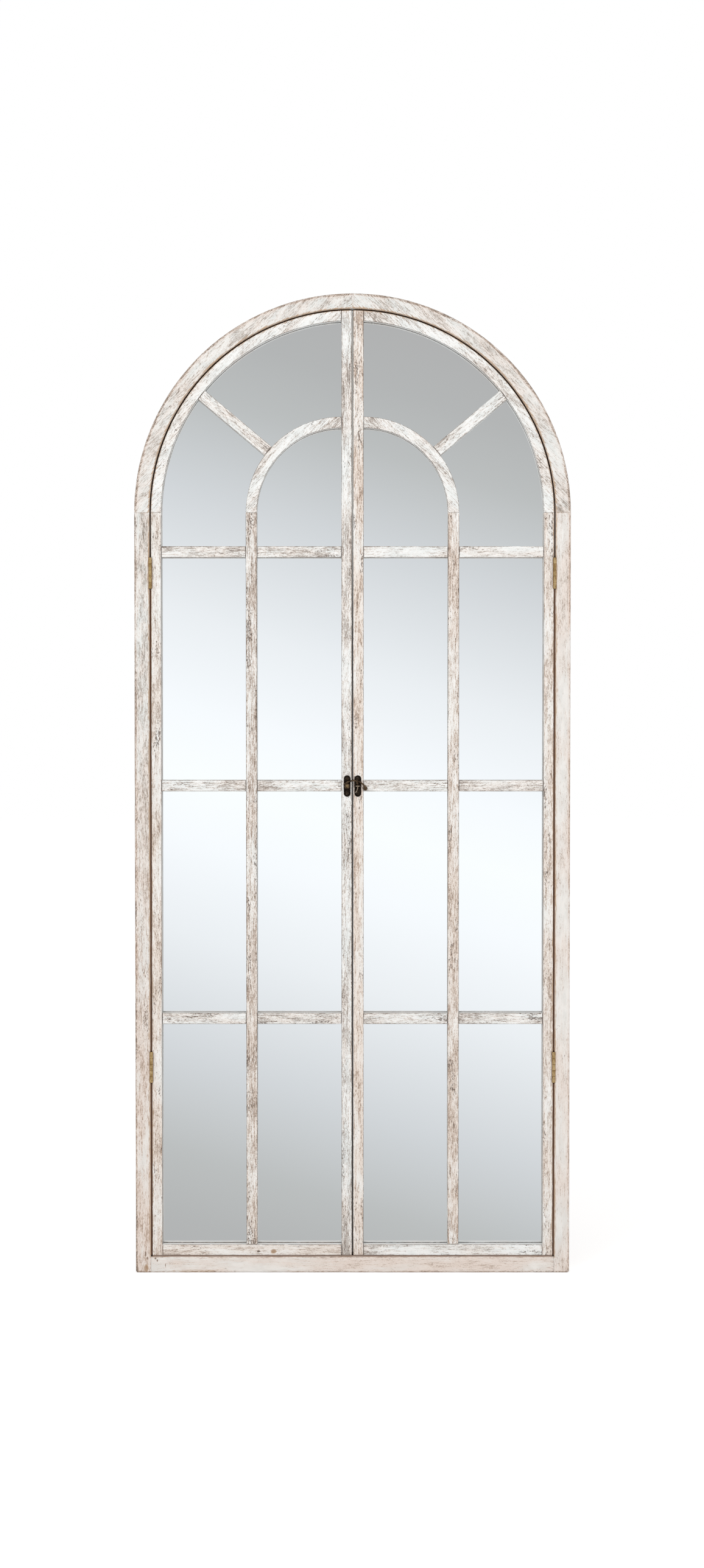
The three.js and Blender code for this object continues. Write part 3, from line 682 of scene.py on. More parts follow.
def worn_member(node):
    """A wooden member with wandering, rubbed arrises in place of its plain solid."""
    bm = bmesh.new()
    bm.from_mesh(NODES[node].data)
    ops.remove_doubles(bm, verts=bm.verts, dist=NEARLY_TOUCHING)
    for v in bm.verts:
        if abs(v.co.y - FRONT_Y) < 0.06 * MM:
            v.co.y = FRONT_Y
    if node.endswith("_meeting_stile"):
        stop_latch_holes(bm)
    ops.dissolve_degenerate(bm, edges=bm.edges, dist=NEARLY_TOUCHING)
    bm.normal_update()
    ops.dissolve_limit(bm, angle_limit=radians(1), verts=bm.verts, edges=bm.edges)
    if node in ("frame_left_stile", "frame_right_stile"):
        plain_foot_corner(bm)
    role = bm.faces.layers.int.new("role")

    for group in sides_of(bm):
        if mean_width(group) < STRIP_WIDTH:
            for face in group:
                face[role] = STRIP
            continue
        facing = sum(f.normal.y * f.calc_area() for f in group) / sum(f.calc_area() for f in group)
        border = BORDER if facing < -0.9 else NARROW_BORDER
        ring = ops.inset_region(bm, faces=list(group), thickness=border, use_boundary=True, use_even_offset=True)
        for face in ring["faces"]:
            face[role] = EDGE_RING

    joints = ends_of(node)
    for point, normal in slice_planes(node):
        ops.bisect_plane(bm, geom=bm.verts[:] + bm.edges[:] + bm.faces[:], dist=TOUCHING,
                         plane_co=point, plane_no=normal)

    arris = {v for f in bm.faces if f[role] == STRIP for v in f.verts}
    seed = Vector((random.uniform(0, 9), random.uniform(0, 9), random.uniform(0, 9)))
    bm.normal_update()
    moves = {}
    for v in arris:
        slow = noise.noise(v.co * 28 + seed)
        quick = noise.noise(v.co * 120 + seed)
        dent = max(0.0, slow + 0.6 * quick - 0.15)
        at_joint = abs(v.co.z - SPRINGLINE) < JOINT_STILL or node.endswith("_arch") and abs(v.co.x) < JOINT_STILL
        depth = 0.0 if at_joint else (0.1 + 0.7 * dent) * (1.0 + 0.5 * min(worn_here(v.co), 1.0))
        moves[v] = -v.normal * min(depth, DEEPEST_DENT[on_the_outside(node, v.co)]) * MM
    for v, move in moves.items():
        v.co += move

    mesh = bpy.data.meshes.new(f"worn_{node}")
    grain_layer = bm.verts.layers.float_vector.new("grain")
    worn_layer, warmth_layer, arris_layer, stain_and_shade_layer = (
        bm.loops.layers.float.new(label) for label in ("worn", "warmth", "arris", "stain"))
    turn = Matrix.Rotation(radians(grain_turn(node)), 3, "Y")
    low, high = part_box(node)
    tone_foot, tone_head, warm_foot, warm_head = BOARDS.get(node, PLAIN_BOARD)
    wear, warmth = {}, {}
    for v in bm.verts:
        v[grain_layer] = turn @ v.co + seed
        near_joint = max(0.0, 1 - min((v.co - end).length for end in joints) / JOINT_REACH)
        if abs(v.co.z - SPRINGLINE) < JOINT_REACH:
            near_joint *= 0.4
        share = min(max((v.co.z - low.z) / (high.z - low.z) * 1.6 - 0.3, 0.0), 1.0)
        tone = tone_foot + (tone_head - tone_foot) * share
        wear[v] = max(worn_here(v.co), JOINT_WEAR * near_joint) + tone
        warmth[v] = warm_foot + (warm_head - warm_foot) * share
        if on_the_outside(node, v.co):
            warmth[v] = min(warmth[v] + OUTSIDE_WARMTH, 1.0)
    for face in bm.faces:
        # Side faces get whiter paint: partly less wear, partly painted light.
        sideways = abs(face.normal.y) < 0.3 and face[role] != STRIP
        for loop in face.loops:
            on_arris = face[role] == STRIP or (face[role] == EDGE_RING and not sideways and loop.vert in arris)
            loop[arris_layer] = arris_wear(node, loop.vert.co) if on_arris else 0.0
            loop[worn_layer] = wear[loop.vert] + (SIDE_WEAR_AND_LIGHT if sideways else 0.0)
            loop[warmth_layer] = 0.0 if sideways else warmth[loop.vert]
            border = 0.0 if sideways else gap_border(node, loop.vert.co)
            # The stain layer carries painted gap shade as well as the brown gap borders.
            loop[stain_and_shade_layer] = max(gap_stain_and_shade(node, face, loop.vert.co), border)
    bm.to_mesh(mesh)
    bm.free()
    mesh.shade_smooth()
    mesh.set_sharp_from_angle(angle=radians(SHARP_TURN))
    mesh.materials.append(FRAME_WOOD if node.startswith("frame_") else SASH_WOOD)
    piece = link(bpy.data.objects.new(f"worn_{node}", mesh))
    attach(piece, BODY_OF[node])
    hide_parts(node)


random.seed(7)
for wooden in sorted(n for n in NODES if n.startswith("frame_") or "_sash_" in n and not n.endswith("leaf")):
    worn_member(wooden)


# ---------------- glass, board, metal, paper, pile and rubber

def mirror_finish():
    made, board, skin = material("silvered glass", Metallic=1.0)
    haze = board.noise(board.place(), 3.0, detail=3.0)
    board.feed_all(skin, Base_Color=board.mix(haze, linear(255, 255, 255), linear(253, 254, 255)),
                   Roughness=board.between(haze, 0.3, 0.8, 0.0, 0.006))
    return made


def hardboard_finish():
    made, board, skin = material("hardboard")
    place = board.place()
    fibre = board.noise(place, 900.0, detail=4.0, roughness=0.7)
    cloud = board.noise(place, 12.0, detail=3.0)
    base = board.mix(board.between(cloud, 0.3, 0.7), linear(141, 106, 74), linear(122, 90, 62))
    board.feed_all(skin, Base_Color=board.mix(board.between(fibre, 0.4, 0.75, 0.0, 0.5), base, linear(168, 134, 98)),
                   Roughness=board.between(fibre, 0.3, 0.8, 0.75, 0.92), Normal=board.bump(fibre, 0.5, 0.1 * MM))
    return made


def metal_finish(name, bright, dull, stain, rough, tarnish):
    """Aged metal: bright where it is handled, dull in clouds, stained in specks."""
    made, board, skin = material(name, Metallic=1.0)
    place = board.place()
    cloud = board.noise(place, 140.0, detail=4.0, roughness=0.65)
    speck = board.noise(place, 900.0, detail=3.0, roughness=0.6)
    colour = board.mix(board.between(cloud, 0.4, 0.65), linear(*bright), linear(*dull))
    colour = board.mix(board.between(speck, 0.56, 0.72, 0.0, tarnish), colour, linear(*stain))
    board.feed_all(skin, Base_Color=colour, Roughness=board.between(cloud, 0.3, 0.7, rough, rough + 0.18),
                   Normal=board.bump(speck, 0.35, 0.06 * MM))
    return made


BRASS = metal_finish("aged brass", (226, 196, 146), (182, 148, 98), (92, 70, 44), 0.3, 0.7)
BRONZE = metal_finish("dark bronze", (74, 60, 48), (44, 35, 28), (118, 96, 66), 0.34, 0.35)
PLATE_BRONZE = metal_finish("cast dark bronze", (52, 43, 36), (30, 24, 20), (84, 66, 48), 0.42, 0.3)
HOOK_BRONZE = metal_finish("rubbed bronze", (112, 92, 72), (66, 52, 40), (40, 31, 24), 0.28, 0.5)
# Pale bronze for the staple and the latch nose: rubbed metal, and partly a painted highlight.
PALE_BRONZE_HIGHLIGHT = metal_finish("bronze rubbed bright", (206, 190, 172), (140, 122, 104), (64, 52, 42), 0.3, 0.5)
RIVET_BRONZE = metal_finish("bright bronze", (176, 150, 112), (104, 82, 58), (50, 38, 30), 0.28, 0.6)
ZINC = metal_finish("zinc plate", (206, 208, 212), (176, 178, 184), (140, 140, 140), 0.32, 0.3)


def kraft_finish():
    made, board, skin = material("kraft tape", Roughness=0.85)
    place = board.place()
    fibre = board.noise(place, 700.0, detail=3.0, roughness=0.7)
    crease = board.noise(place, 60.0, detail=4.0, roughness=0.6, distortion=0.6)
    base = board.mix(board.between(crease, 0.35, 0.7), linear(186, 148, 104), linear(164, 128, 88))
    board.feed_all(skin, Base_Color=board.mix(board.between(fibre, 0.5, 0.8, 0.0, 0.4), base, linear(206, 172, 128)),
                   Normal=board.bump(crease, 0.4, 0.3 * MM))
    return made


def felt_finish(name, low, high, paler_share):
    """Pile strip whose colour is mixed towards pale grey, from none at z = 1.15 to its full share at 1.45."""
    made, board, skin = material(name, Roughness=1.0)
    place = board.place()
    paling = board.between(board.split(place)[2], 1.15, 1.45, 0.0, paler_share)
    pile = board.mix(board.noise(place, 2200.0, detail=2.0), linear(*low), linear(*high))
    board.feed_all(skin, Base_Color=board.mix(paling, pile, linear(188, 184, 178)))
    return made


def rubber_finish():
    made, board, skin = material("soft rubber", Roughness=0.45)
    grey = board.noise(board.place(), 400.0)
    board.feed_all(skin, Base_Color=board.mix(grey, linear(214, 214, 208), linear(226, 226, 222)))
    return made


def repaint(names, finish):
    for name in names:
        NODES[name].data.materials.clear()
        NODES[name].data.materials.append(finish)


repaint(["mirror_glass"], mirror_finish())
repaint(["backboard"], hardboard_finish())
RUBBER = rubber_finish()
KRAFT = kraft_finish()
# Dark pile strip in the seam: painted seam shade, paler towards the top.
SEAM_SHADE_FELT = felt_finish("dark pile, painted seam shade", (34, 30, 27), (58, 51, 46), 0.85)
# Brown pile in the gaps beside and below the sashes, paler at the foot: painted gap shade.
BROWN_GAP_SHADE_PILE = felt_finish("brown pile", (78, 54, 41), (112, 81, 62), 0.0)
FOOT_GAP_SHADE_PILE = felt_finish("pale brown pile, painted gap shade", (142, 120, 108), (178, 157, 144), 0.0)


# ---------------- hinges

KNUCKLE_RADIUS = 2.8 * MM
KNUCKLE_GAP = 0.3 * MM
KNUCKLE_BORE = 1.45 * MM
LEAF_NEAR, LEAF_FAR = 0.6 * MM, 1.8 * MM
LEAF_SCREWS = (-19.5 * MM, 0.0, 19.5 * MM)


def make_hinge(side, level):
    name = f"{side}_{level}_hinge"
    low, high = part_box(f"{name}_frame_leaf")
    pin_low, pin_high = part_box(f"{name}_pin")
    pin = Vector(((pin_low.x + pin_high.x) / 2, (pin_low.y + pin_high.y) / 2, 0))
    leaf_y0, leaf_y1 = pin.y + KNUCKLE_RADIUS + 0.3 * MM, high.y
    middle = (low.z + high.z) / 2
    pitch = (high.z - low.z + KNUCKLE_GAP) / 5
    for part, towards, first in (("frame_leaf", 1, 0), ("sash_leaf", -1, 1)):
        way = SIDE[side] * towards
        body = "frame" if part == "frame_leaf" else f"{side}_sash"
        bm = bmesh.new()
        outline = [(leaf_y0, low.z), (leaf_y1 - 1.5 * MM, low.z), (leaf_y1, low.z + 1.5 * MM),
                   (leaf_y1, high.z - 1.5 * MM), (leaf_y1 - 1.5 * MM, high.z), (leaf_y0, high.z)]
        screw_y = (leaf_y0 + leaf_y1) / 2 + 0.4 * MM
        holes = [arc_points(screw_y, middle + z, 2.1 * MM, 0, 360, 24)[:-1] for z in LEAF_SCREWS]
        pierced_sheet(bm, outline, holes, pin.x + way * LEAF_FAR, pin.x + way * LEAF_NEAR,
                      lambda u, v, depth: Vector((depth, u, v)), 0.2 * MM, 2)
        for i in range(first, 5, 2):
            z0, z1 = low.z + i * pitch, low.z + (i + 1) * pitch - KNUCKLE_GAP
            ease = 0.35 * MM
            spun(bm, [(KNUCKLE_BORE, z0), (KNUCKLE_RADIUS - ease, z0), (KNUCKLE_RADIUS, z0 + ease),
                      (KNUCKLE_RADIUS, z1 - ease), (KNUCKLE_RADIUS - ease, z1), (KNUCKLE_BORE, z1),
                      (KNUCKLE_BORE, z0)], pin, (0, 0, 1), 48)
            tongue = ops.create_cube(bm, size=1.0)["verts"]
            ops.scale(bm, verts=tongue, vec=(LEAF_FAR - LEAF_NEAR, leaf_y0 + 0.8 * MM - pin.y, z1 - z0 - 2 * ease))
            ops.translate(bm, verts=tongue, vec=(pin.x + way * (LEAF_NEAR + LEAF_FAR) / 2,
                                                 (leaf_y0 + 0.8 * MM + pin.y) / 2, (z0 + z1) / 2))
        finish_piece(f"fine_{name}_{part}", bm, BRASS, body, (f"{name}_{part}",))
        screws = bmesh.new()
        for index, z in enumerate(LEAF_SCREWS):
            place = tilted(25 + 50 * index + 15 * towards, lambda u, v, depth: Vector((
                pin.x + way * (LEAF_NEAR + 0.15 * MM + depth), screw_y + u, middle + z + v)))
            slotted_head(screws, place, 1.95 * MM, 0.55 * MM, 0.5 * MM, 0.9 * MM)
        finish_piece(f"{name}_{part}_screws", screws, BRASS, body)
    bm = bmesh.new()
    top, foot, radius = pin_high.z, pin_low.z, (pin_high.x - pin_low.x) / 2
    spun(bm, [(0, foot), (radius * 0.7, foot), (radius, foot + 0.4 * MM), (radius, top - 0.5 * MM),
              (2.3 * MM, top - 0.5 * MM), (2.25 * MM, top - 0.3 * MM), (1.7 * MM, top - 0.06 * MM),
              (0.8 * MM, top - 0.01 * MM), (0, top)], pin, (0, 0, 1), 32)
    finish_piece(f"fine_{name}_pin", bm, BRASS, BODY_OF[f"{name}_pin"], (f"{name}_pin",))


for hinge_side in (LEFT, RIGHT):
    for hinge_level in ("lower", "upper"):
        make_hinge(hinge_side, hinge_level)


# ---------------- latch

PLATE_LOW, PLATE_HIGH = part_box("keeper_plate")
PLATE_FRONT_Y = SASH_FRONT_Y - 1.6 * MM
PLATE_X = (PLATE_LOW.x + PLATE_HIGH.x) / 2
PLATE_RADIUS = (PLATE_HIGH.x - PLATE_LOW.x) / 2
LATCH_Z = (PLATE_LOW.z + PLATE_HIGH.z) / 2
HOOK_POSE = JOINTS["hook_swing"]["pos_m"]
RIVET = Vector(HOOK_POSE)
NOSE_RADIUS = 2 * PLATE_X
HEAD_RADIUS = 2.6 * MM


def make_plate(name, side, fitting):
    bm = bmesh.new()
    x = side * PLATE_X
    straight = PLATE_HIGH.z - PLATE_LOW.z - 2 * PLATE_RADIUS
    holes = [arc_points(x, LATCH_Z + end * SCREW_REACH, HEAD_RADIUS + 0.25 * MM, 0, 360, 28)[:-1] for end in (-1, 1)]
    pierced_sheet(bm, stadium_points(x, LATCH_Z, PLATE_RADIUS, straight), holes, SASH_FRONT_Y, PLATE_FRONT_Y,
                  front_view, 0.55 * MM, 4)
    if fitting:
        fitting(bm)
    finish_piece(f"cast_{name}", bm, PLATE_BRONZE, BODY_OF[name], (name,))


def boss(bm):
    reach = RIVET.y + 1.6 * MM
    place = Vector((RIVET.x, 0, RIVET.z))
    spun(bm, [(0, reach), (2.8 * MM, reach), (3.2 * MM, reach + 0.3 * MM), (3.4 * MM, PLATE_FRONT_Y + 0.1 * MM)],
         place, (0, 1, 0), 36)


def make_eye():
    """The staple: a wire bent out of the plate, in pale bronze: rubbed metal, and partly a painted highlight."""
    wire, radius, bend_y = 1.1 * MM, 3.6 * MM, PLATE_FRONT_Y - 1.8 * MM
    path = [Vector((PLATE_X + radius, PLATE_FRONT_Y + 0.8 * MM, LATCH_Z)), Vector((PLATE_X + radius, bend_y, LATCH_Z))]
    path += [Vector((PLATE_X + radius * cos(a), bend_y - radius * sin(a), LATCH_Z))
             for a in (pi * i / 20 for i in range(1, 20))]
    path += [Vector((PLATE_X - radius, bend_y, LATCH_Z)), Vector((PLATE_X - radius, PLATE_FRONT_Y + 0.8 * MM, LATCH_Z))]
    bm = bmesh.new()
    swept(bm, [(p, wire) for p in path], (0, 0, 1))
    finish_piece("keeper_staple", bm, PALE_BRONZE_HIGHLIGHT, BODY_OF["keeper_plate"], (), 45.0)


def make_screw(side, end):
    name = f"{'left' if side < 0 else 'right'}_latch_{'upper' if end > 0 else 'lower'}_screw"
    x, z = side * PLATE_X, LATCH_Z + end * SCREW_REACH
    bm = bmesh.new()
    place = tilted(20 + 65 * end + 40 * side, lambda u, v, depth: Vector((
        x + u, PLATE_FRONT_Y - 0.42 * MM * (1 - (hypot(u, v) / HEAD_RADIUS) ** 2) + depth, z + v)))
    slotted_head(bm, place, HEAD_RADIUS, 0.75 * MM, 0.6 * MM, 1.2 * MM)
    finish_piece(f"slotted_{name}", bm, BRONZE, BODY_OF[name], (name,), 40.0)


def hook_point(radius, angle, centre=RIVET):
    return Vector((centre.x + radius * cos(radians(angle)), RIVET.y,
                   centre.z + radius * sin(radians(angle))))


def make_hook():
    bm = bmesh.new()
    arm_radius, arm_centre = 25 * MM, RIVET + Vector((12 * MM, 0, -15 * MM))
    bearing = degrees(atan2(-15, 12))
    start, end, steps = bearing + 180, 38, 30
    arm = []
    for i in range(steps + 1):
        share = i / steps
        swell = 0.22 * exp(-((share - 0.05) / 0.14) ** 2) + 0.1 * exp(-((share - 0.62) / 0.12) ** 2)
        arm.append((hook_point(arm_radius, start + (end - start) * share, arm_centre), (1.42 + swell) * MM))
    arm_end = arm[-1][0]
    way = Vector((cos(radians(70)), 0, -sin(radians(70))))
    knob_middle = arm_end + way * 5 * MM
    leaving = (arm_end - arm[-2][0]).normalized()
    bend = [(arm_end + leaving * 0.9 * MM, 1.5 * MM), (arm_end + leaving * 1.4 * MM + way * 0.7 * MM, 1.75 * MM)]
    swept(bm, arm + bend, (0, 1, 0))
    swell = [(0.0, -3.9), (1.3, -3.68), (2.5, -3.0), (3.35, -2.0), (3.8, -0.8), (3.85, 0.3), (3.5, 1.5), (2.85, 2.6),
             (2.15, 3.6), (1.75, 4.6), (1.6, 5.4), (0.0, 5.4)]
    spun(bm, [(r * MM, a * MM) for r, a in swell], knob_middle, -way, 36)

    cosine = (hypot(12, 15) ** 2 + (NOSE_RADIUS / MM) ** 2 - 25 ** 2) / (2 * hypot(12, 15) * NOSE_RADIUS / MM)
    crossing = bearing + degrees(acos(cosine))
    collar_foot = degrees(asin(1.4 * MM / NOSE_RADIUS))
    nose = []
    for i in range(25):
        angle = crossing + (-36 - crossing) * i / 24
        radius = 1.35 if angle > collar_foot else 1.3 - 0.45 * ((collar_foot - angle) / (collar_foot + 36)) ** 1.5
        nose.append((hook_point(NOSE_RADIUS, angle), radius * MM))
    nose_bm = bmesh.new()
    swept(nose_bm, nose[8:], (0, 1, 0))
    # The nose takes the pale bronze: partly a painted highlight.
    finish_piece("forged_latch_nose", nose_bm, PALE_BRONZE_HIGHLIGHT, "hook", (), 45.0)
    swept(bm, nose[:12], (0, 1, 0))
    collar = []
    for i in range(7):
        angle = crossing - 2.3 + (collar_foot + 1.5 - crossing + 2.3) * i / 6
        collar.append((hook_point(NOSE_RADIUS, angle), (2.2 - 0.35 * abs(i - 2.2) / 3) * MM))
    swept(bm, collar[:-1], (0, 1, 0))

    half, outer, inner = 1.3 * MM, 5 * MM, 1.75 * MM
    ring = [(inner, -half + 0.2 * MM), (inner + 0.2 * MM, -half)]
    ring += [(outer - 1.1 * MM + 1.1 * MM * sin(a), -half + 1.1 * MM * (1 - cos(a))) for a in quarter(6)]
    ring += [(outer, half - 0.4 * MM), (outer - 0.4 * MM, half), (inner, half), (inner, -half + 0.2 * MM)]
    spun(bm, ring, RIVET, (0, 1, 0), 48)
    finish_piece("forged_latch_hook", bm, HOOK_BRONZE, "hook", ("latch_hook",), 45.0)

    bm = bmesh.new()
    head_y = RIVET.y - 1.3 * MM - 0.3 * MM
    spun(bm, [(r, -a) for r, a in dome(2.9 * MM, 1.45 * MM, 0.0, 8)] + [(1.5 * MM, 0), (1.5 * MM, 9 * MM), (0, 9 * MM)],
         Vector((RIVET.x, head_y, RIVET.z)), (0, 1, 0), 36)
    finish_piece("peened_latch_rivet", bm, RIVET_BRONZE, BODY_OF["latch_rivet"], ("latch_rivet",), 50.0)


make_plate("latch_plate", -1, boss)
make_plate("keeper_plate", 1, None)
make_eye()
for screw_side in (-1, 1):
    for screw_end in (-1, 1):
        make_screw(screw_side, screw_end)
make_hook()


# ---------------- pile strips, bumpers and the back

def strip(bm, profile, way):
    raised(bm, [bm.faces.new([bm.verts.new(point) for point in profile])], way)


def make_seam_shade_seal():
    """A dark pile strip on the left meeting stile that closes the seam to light: a dark strip put in the seam as
    painted shade.
    """
    low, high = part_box("left_sash_meeting_stile")
    bm = bmesh.new()
    outline = [(-0.2, -10.6), (1.6, -10.6), (2.0, -10.2), (2.1, -9.6), (2.0, -9.0), (1.6, -8.6), (-0.2, -8.6)]
    strip(bm, [(high.x + out * MM, y * MM, low.z + 2 * MM) for out, y in outline], (0, 0, high.z - low.z - 6 * MM))
    finish_piece("left_sash_seam_seal", bm, SEAM_SHADE_FELT, "left_sash")


def make_gap_shade_strips():
    """Brown pile strips on the frame that close the gaps below and beside the sashes, up to the upper hinges; their
    brown stands in for the shade in the gaps, as painted shade.
    """
    reach, clear = OPENING_RADIUS - SASH_RADIUS - 0.5 * MM, 2 * MM
    profile = [(-0.2 * MM, -12.9), (reach - 0.5 * MM, -12.9), (reach - 0.12 * MM, -12.6), (reach, -12.0),
               (reach - 0.12 * MM, -11.4), (reach - 0.5 * MM, -11.1), (-0.2 * MM, -11.1)]
    for side in (LEFT, RIGHT):
        stops = [RAIL_TOP + 3 * MM]
        for level in ("lower", "upper"):
            low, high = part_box(f"{side}_{level}_hinge_frame_leaf")
            stops += [low.z - clear, high.z + clear]
        bm = bmesh.new()
        for foot, head in zip(stops[::2], stops[1::2]):
            strip(bm, [(SIDE[side] * (OPENING_RADIUS - out), y * MM, foot) for out, y in profile], (0, 0, head - foot))
        finish_piece(f"frame_{side}_gap_strip", bm, BROWN_GAP_SHADE_PILE, "frame")
    bm = bmesh.new()
    start = 3 * MM - OPENING_RADIUS
    strip(bm, [(start, y * MM, RAIL_TOP + min(out, SASH_FOOT - RAIL_TOP - 0.5 * MM)) for out, y in profile],
          (-2 * start, 0, 0))
    finish_piece("frame_foot_gap_strip", bm, FOOT_GAP_SHADE_PILE, "frame")


def make_bumper(name):
    low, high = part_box(name)
    middle = (low + high) / 2
    radius, tall = (high.x - low.x) / 2, high.y - low.y
    bm = bmesh.new()
    crown = [(radius * 0.93 * cos(a), tall * (0.45 + 0.55 * sin(a))) for a in quarter(7)]
    spun(bm, [(0, 0), (radius, 0), (radius, tall * 0.35)] + crown, Vector((middle.x, low.y, middle.z)), (0, 1, 0), 36)
    finish_piece(f"soft_{name}", bm, RUBBER, BODY_OF[name], (name,), 50.0)


def make_hanger(side):
    name = f"{side}_keyhole_hanger"
    low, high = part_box(name)
    x = (low.x + high.x) / 2
    radius = (high.x - low.x) / 2
    middle = (low.z + high.z) / 2
    entry, slot_end, entry_radius, slot_radius = middle - 6.5 * MM, middle + 6.5 * MM, 4.6 * MM, 2.5 * MM
    meet = degrees(acos(slot_radius / entry_radius))
    keyhole = (arc_points(x, entry, entry_radius, 180 - meet, 360 + meet, 28)
               + arc_points(x, slot_end, slot_radius, 0, 180, 16))
    bm = bmesh.new()
    screws = [middle - 18.2 * MM, middle + 18.2 * MM]
    holes = [keyhole] + [arc_points(x, z, 2.2 * MM, 0, 360, 24)[:-1] for z in screws]
    pierced_sheet(bm, stadium_points(x, middle, radius, high.z - low.z - 2 * radius), holes, low.y, high.y,
                  front_view, 0.3 * MM, 2)
    finish_piece(f"pressed_{name}", bm, ZINC, "frame", (name,))
    bm = bmesh.new()
    for index, z in enumerate(screws):
        place = tilted(35 + 70 * index, lambda u, v, depth: Vector((x + u, high.y - 0.15 * MM - depth, z + v)))
        slotted_head(bm, place, 2.0 * MM, 0.55 * MM, 0.5 * MM, 1.0 * MM)
    finish_piece(f"{name}_screws", bm, ZINC, "frame")


def arch_points(radius, foot, steps=64):
    """The outline of a round-headed board, as (x, z)."""
    return arc_points(0, SPRINGLINE, radius, 0, 180, steps) + [(-radius, foot), (radius, foot)]


def make_tape():
    """Brown paper tape over the joint of backboard and rebate."""
    outer_radius, foot = GLASS_HIGH.x + 0.7 * MM, GLASS_LOW.z - 0.7 * MM
    width = 24 * MM
    bm = bmesh.new()
    pierced_sheet(bm, arch_points(outer_radius, foot), [arch_points(outer_radius - width, foot + width)],
                  BOARD_BACK_Y + 0.05 * MM, BOARD_BACK_Y + 0.3 * MM, front_view,
                  0.08 * MM, 1)
    for v in bm.verts:
        v.co.y += 0.12 * MM * max(0.0, noise.noise(v.co * 40)) if v.co.y > BOARD_BACK_Y + 0.2 * MM else 0.0
    finish_piece("back_paper_tape", bm, KRAFT, "frame")


def make_glazing_points():
    """Small bent zinc points, driven into the rebate, that hold the backboard."""
    edge, foot = GLASS_HIGH.x + 0.9 * MM, GLASS_LOW.z - 0.9 * MM
    spots = [(side * edge, z, 0 if side > 0 else 180) for side in (-1, 1) for z in (0.17, 0.45, 0.74, 1.03, 1.3)]
    spots += [(edge * cos(radians(a)), SPRINGLINE + edge * sin(radians(a)), a)
              for a in (24, 52, 80, 104, 132, 158)]
    spots += [(x, foot, -90) for x in (-0.26, 0.0, 0.26)]
    bm = bmesh.new()
    for x, z, bearing in spots:
        turn = radians(bearing)
        out, across = Vector((cos(turn), 0, sin(turn))), Vector((-sin(turn), 0, cos(turn)))
        root = Vector((x, BOARD_BACK_Y + 0.45 * MM, z))
        shape = [(0.3, -5), (-6, -4), (-9.5, -1.2), (-9.5, 1.2), (-6, 4), (0.3, 5)]
        lift = {-9.5: 1.6, -6: 0.25, 0.3: 0.1}
        verts = [bm.verts.new(root + out * u * MM + across * v * MM + Vector((0, lift[u] * MM, 0))) for u, v in shape]
        plate = bm.faces.new(verts)
        ops.solidify(bm, geom=[plate], thickness=0.4 * MM)
    finish_piece("back_glazing_points", bm, ZINC, "frame")


make_seam_shade_seal()
make_gap_shade_strips()
for soft in sorted(n for n in NODES if n.endswith("_bumper")):
    make_bumper(soft)
for hanger_side in (LEFT, RIGHT):
    make_hanger(hanger_side)
make_tape()
make_glazing_points()


# ---------------- camera, light and backdrop

CAMERA_DISTANCE = 4.5
CAMERA_HEIGHT = 1.0239
CAMERA_PITCH = radians(1.567)
CAMERA_LENS = 56.19

camera = link(bpy.data.objects.new("camera", bpy.data.cameras.new("camera")))
camera.data.lens = CAMERA_LENS
camera.location = (-0.0009, -CAMERA_DISTANCE, CAMERA_HEIGHT)
camera.rotation_euler = (pi / 2 - CAMERA_PITCH, 0, 0)
bpy.context.scene.camera = camera
bpy.context.scene.view_settings.view_transform = "Standard"

AMBIENT = 0.72
FLOOR_GLOW = 0.36
WHITE = (1.0, 1.0, 1.0, 1.0)

# What glossy surfaces see: a soft diagonal sheen. Its distance is measured from the brightest line, across it.
SHEEN_OFFSET = -0.1706
SHEEN_ACROSS_X = -1.1919
SHEEN_ACROSS_Z = -3.8456
SHEEN_REACH = 4.0
SHEEN_STOPS = [
    (0.0, linear(251, 255, 255)),
    (0.1, linear(248, 252, 255)),
    (0.25, linear(236, 240, 243)),
    (0.45, linear(210, 214, 217)),
    (0.6, linear(188, 191, 191)),
    (0.7, linear(180, 182, 182)),
    (0.85, linear(176, 176, 176)),
    (1.8, linear(186, 187, 188)),
    (SHEEN_REACH, linear(236, 238, 240)),
]


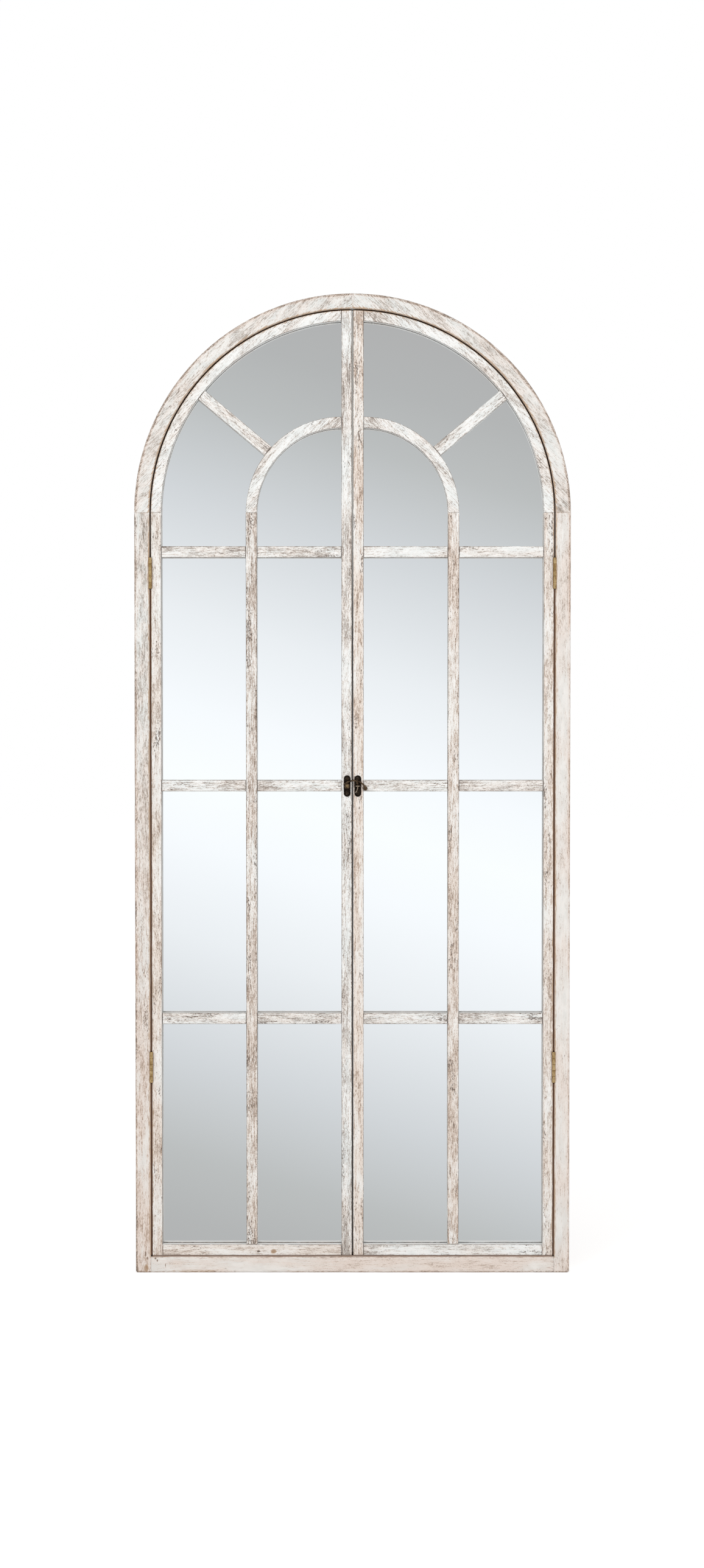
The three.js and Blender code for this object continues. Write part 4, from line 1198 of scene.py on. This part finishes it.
def make_world():
    world = bpy.data.worlds.new("studio")
    world.use_nodes = True
    board = Board(world.node_tree)
    base = world.node_tree.nodes["Background"]
    way = board.split(board.node("ShaderNodeTexCoord").outputs["Generated"])
    ahead = board.math("MAXIMUM", board.math("ABSOLUTE", way[1]), 0.2)
    across = board.math("MULTIPLY_ADD", board.math("DIVIDE", way[0], ahead), SHEEN_ACROSS_X, SHEEN_OFFSET)
    across = board.math("MULTIPLY_ADD", board.math("DIVIDE", way[2], ahead), SHEEN_ACROSS_Z, across)
    share = board.math("DIVIDE", board.math("ABSOLUTE", across), SHEEN_REACH)
    sheen = board.ramp(share, [(at / SHEEN_REACH, colour) for at, colour in SHEEN_STOPS])
    ray = board.node("ShaderNodeLightPath").outputs
    seen = board.math("MAXIMUM", ray["Is Camera Ray"], ray["Is Glossy Ray"])
    seen = board.math("MAXIMUM", seen, ray["Is Transmission Ray"])
    board.feed_all(base, Color=board.mix(ray["Is Glossy Ray"], WHITE, sheen),
                   Strength=board.math("MULTIPLY_ADD", seen, 1 - AMBIENT, AMBIENT))
    bpy.context.scene.world = world


def softbox(name, place, towards, size, power):
    lamp = bpy.data.lights.new(name, "AREA")
    lamp.shape = "RECTANGLE"
    lamp.size, lamp.size_y = size
    lamp.energy = power
    made = link(bpy.data.objects.new(name, lamp))
    made.location = place
    made.rotation_euler = (Vector(towards) - Vector(place)).to_track_quat("-Z", "Y").to_euler()
    made.visible_glossy = False


def make_floor():
    bm = bmesh.new()
    ops.create_grid(bm, x_segments=1, y_segments=1, size=20)
    mesh = bpy.data.meshes.new("floor")
    bm.to_mesh(mesh)
    bm.free()
    made, board, skin = material("pale floor", Base_Color=(0.9, 0.9, 0.9, 1.0), Roughness=0.9,
                                 Specular_IOR_Level=0.0, Emission_Color=WHITE)
    seen = board.node("ShaderNodeLightPath").outputs["Is Camera Ray"]
    board.feed_all(skin, Emission_Strength=board.math("MULTIPLY", seen, FLOOR_GLOW))
    mesh.materials.append(made)
    floor = link(bpy.data.objects.new("floor", mesh))
    floor.visible_glossy = False


make_world()
softbox("key", (-1.9, -3.2, 3.1), (0, 0, 0.9), (1.8, 1.8), 52)
softbox("fill", (2.4, -3.0, 1.8), (0, 0, 0.9), (1.6, 1.6), 26)
make_floor()
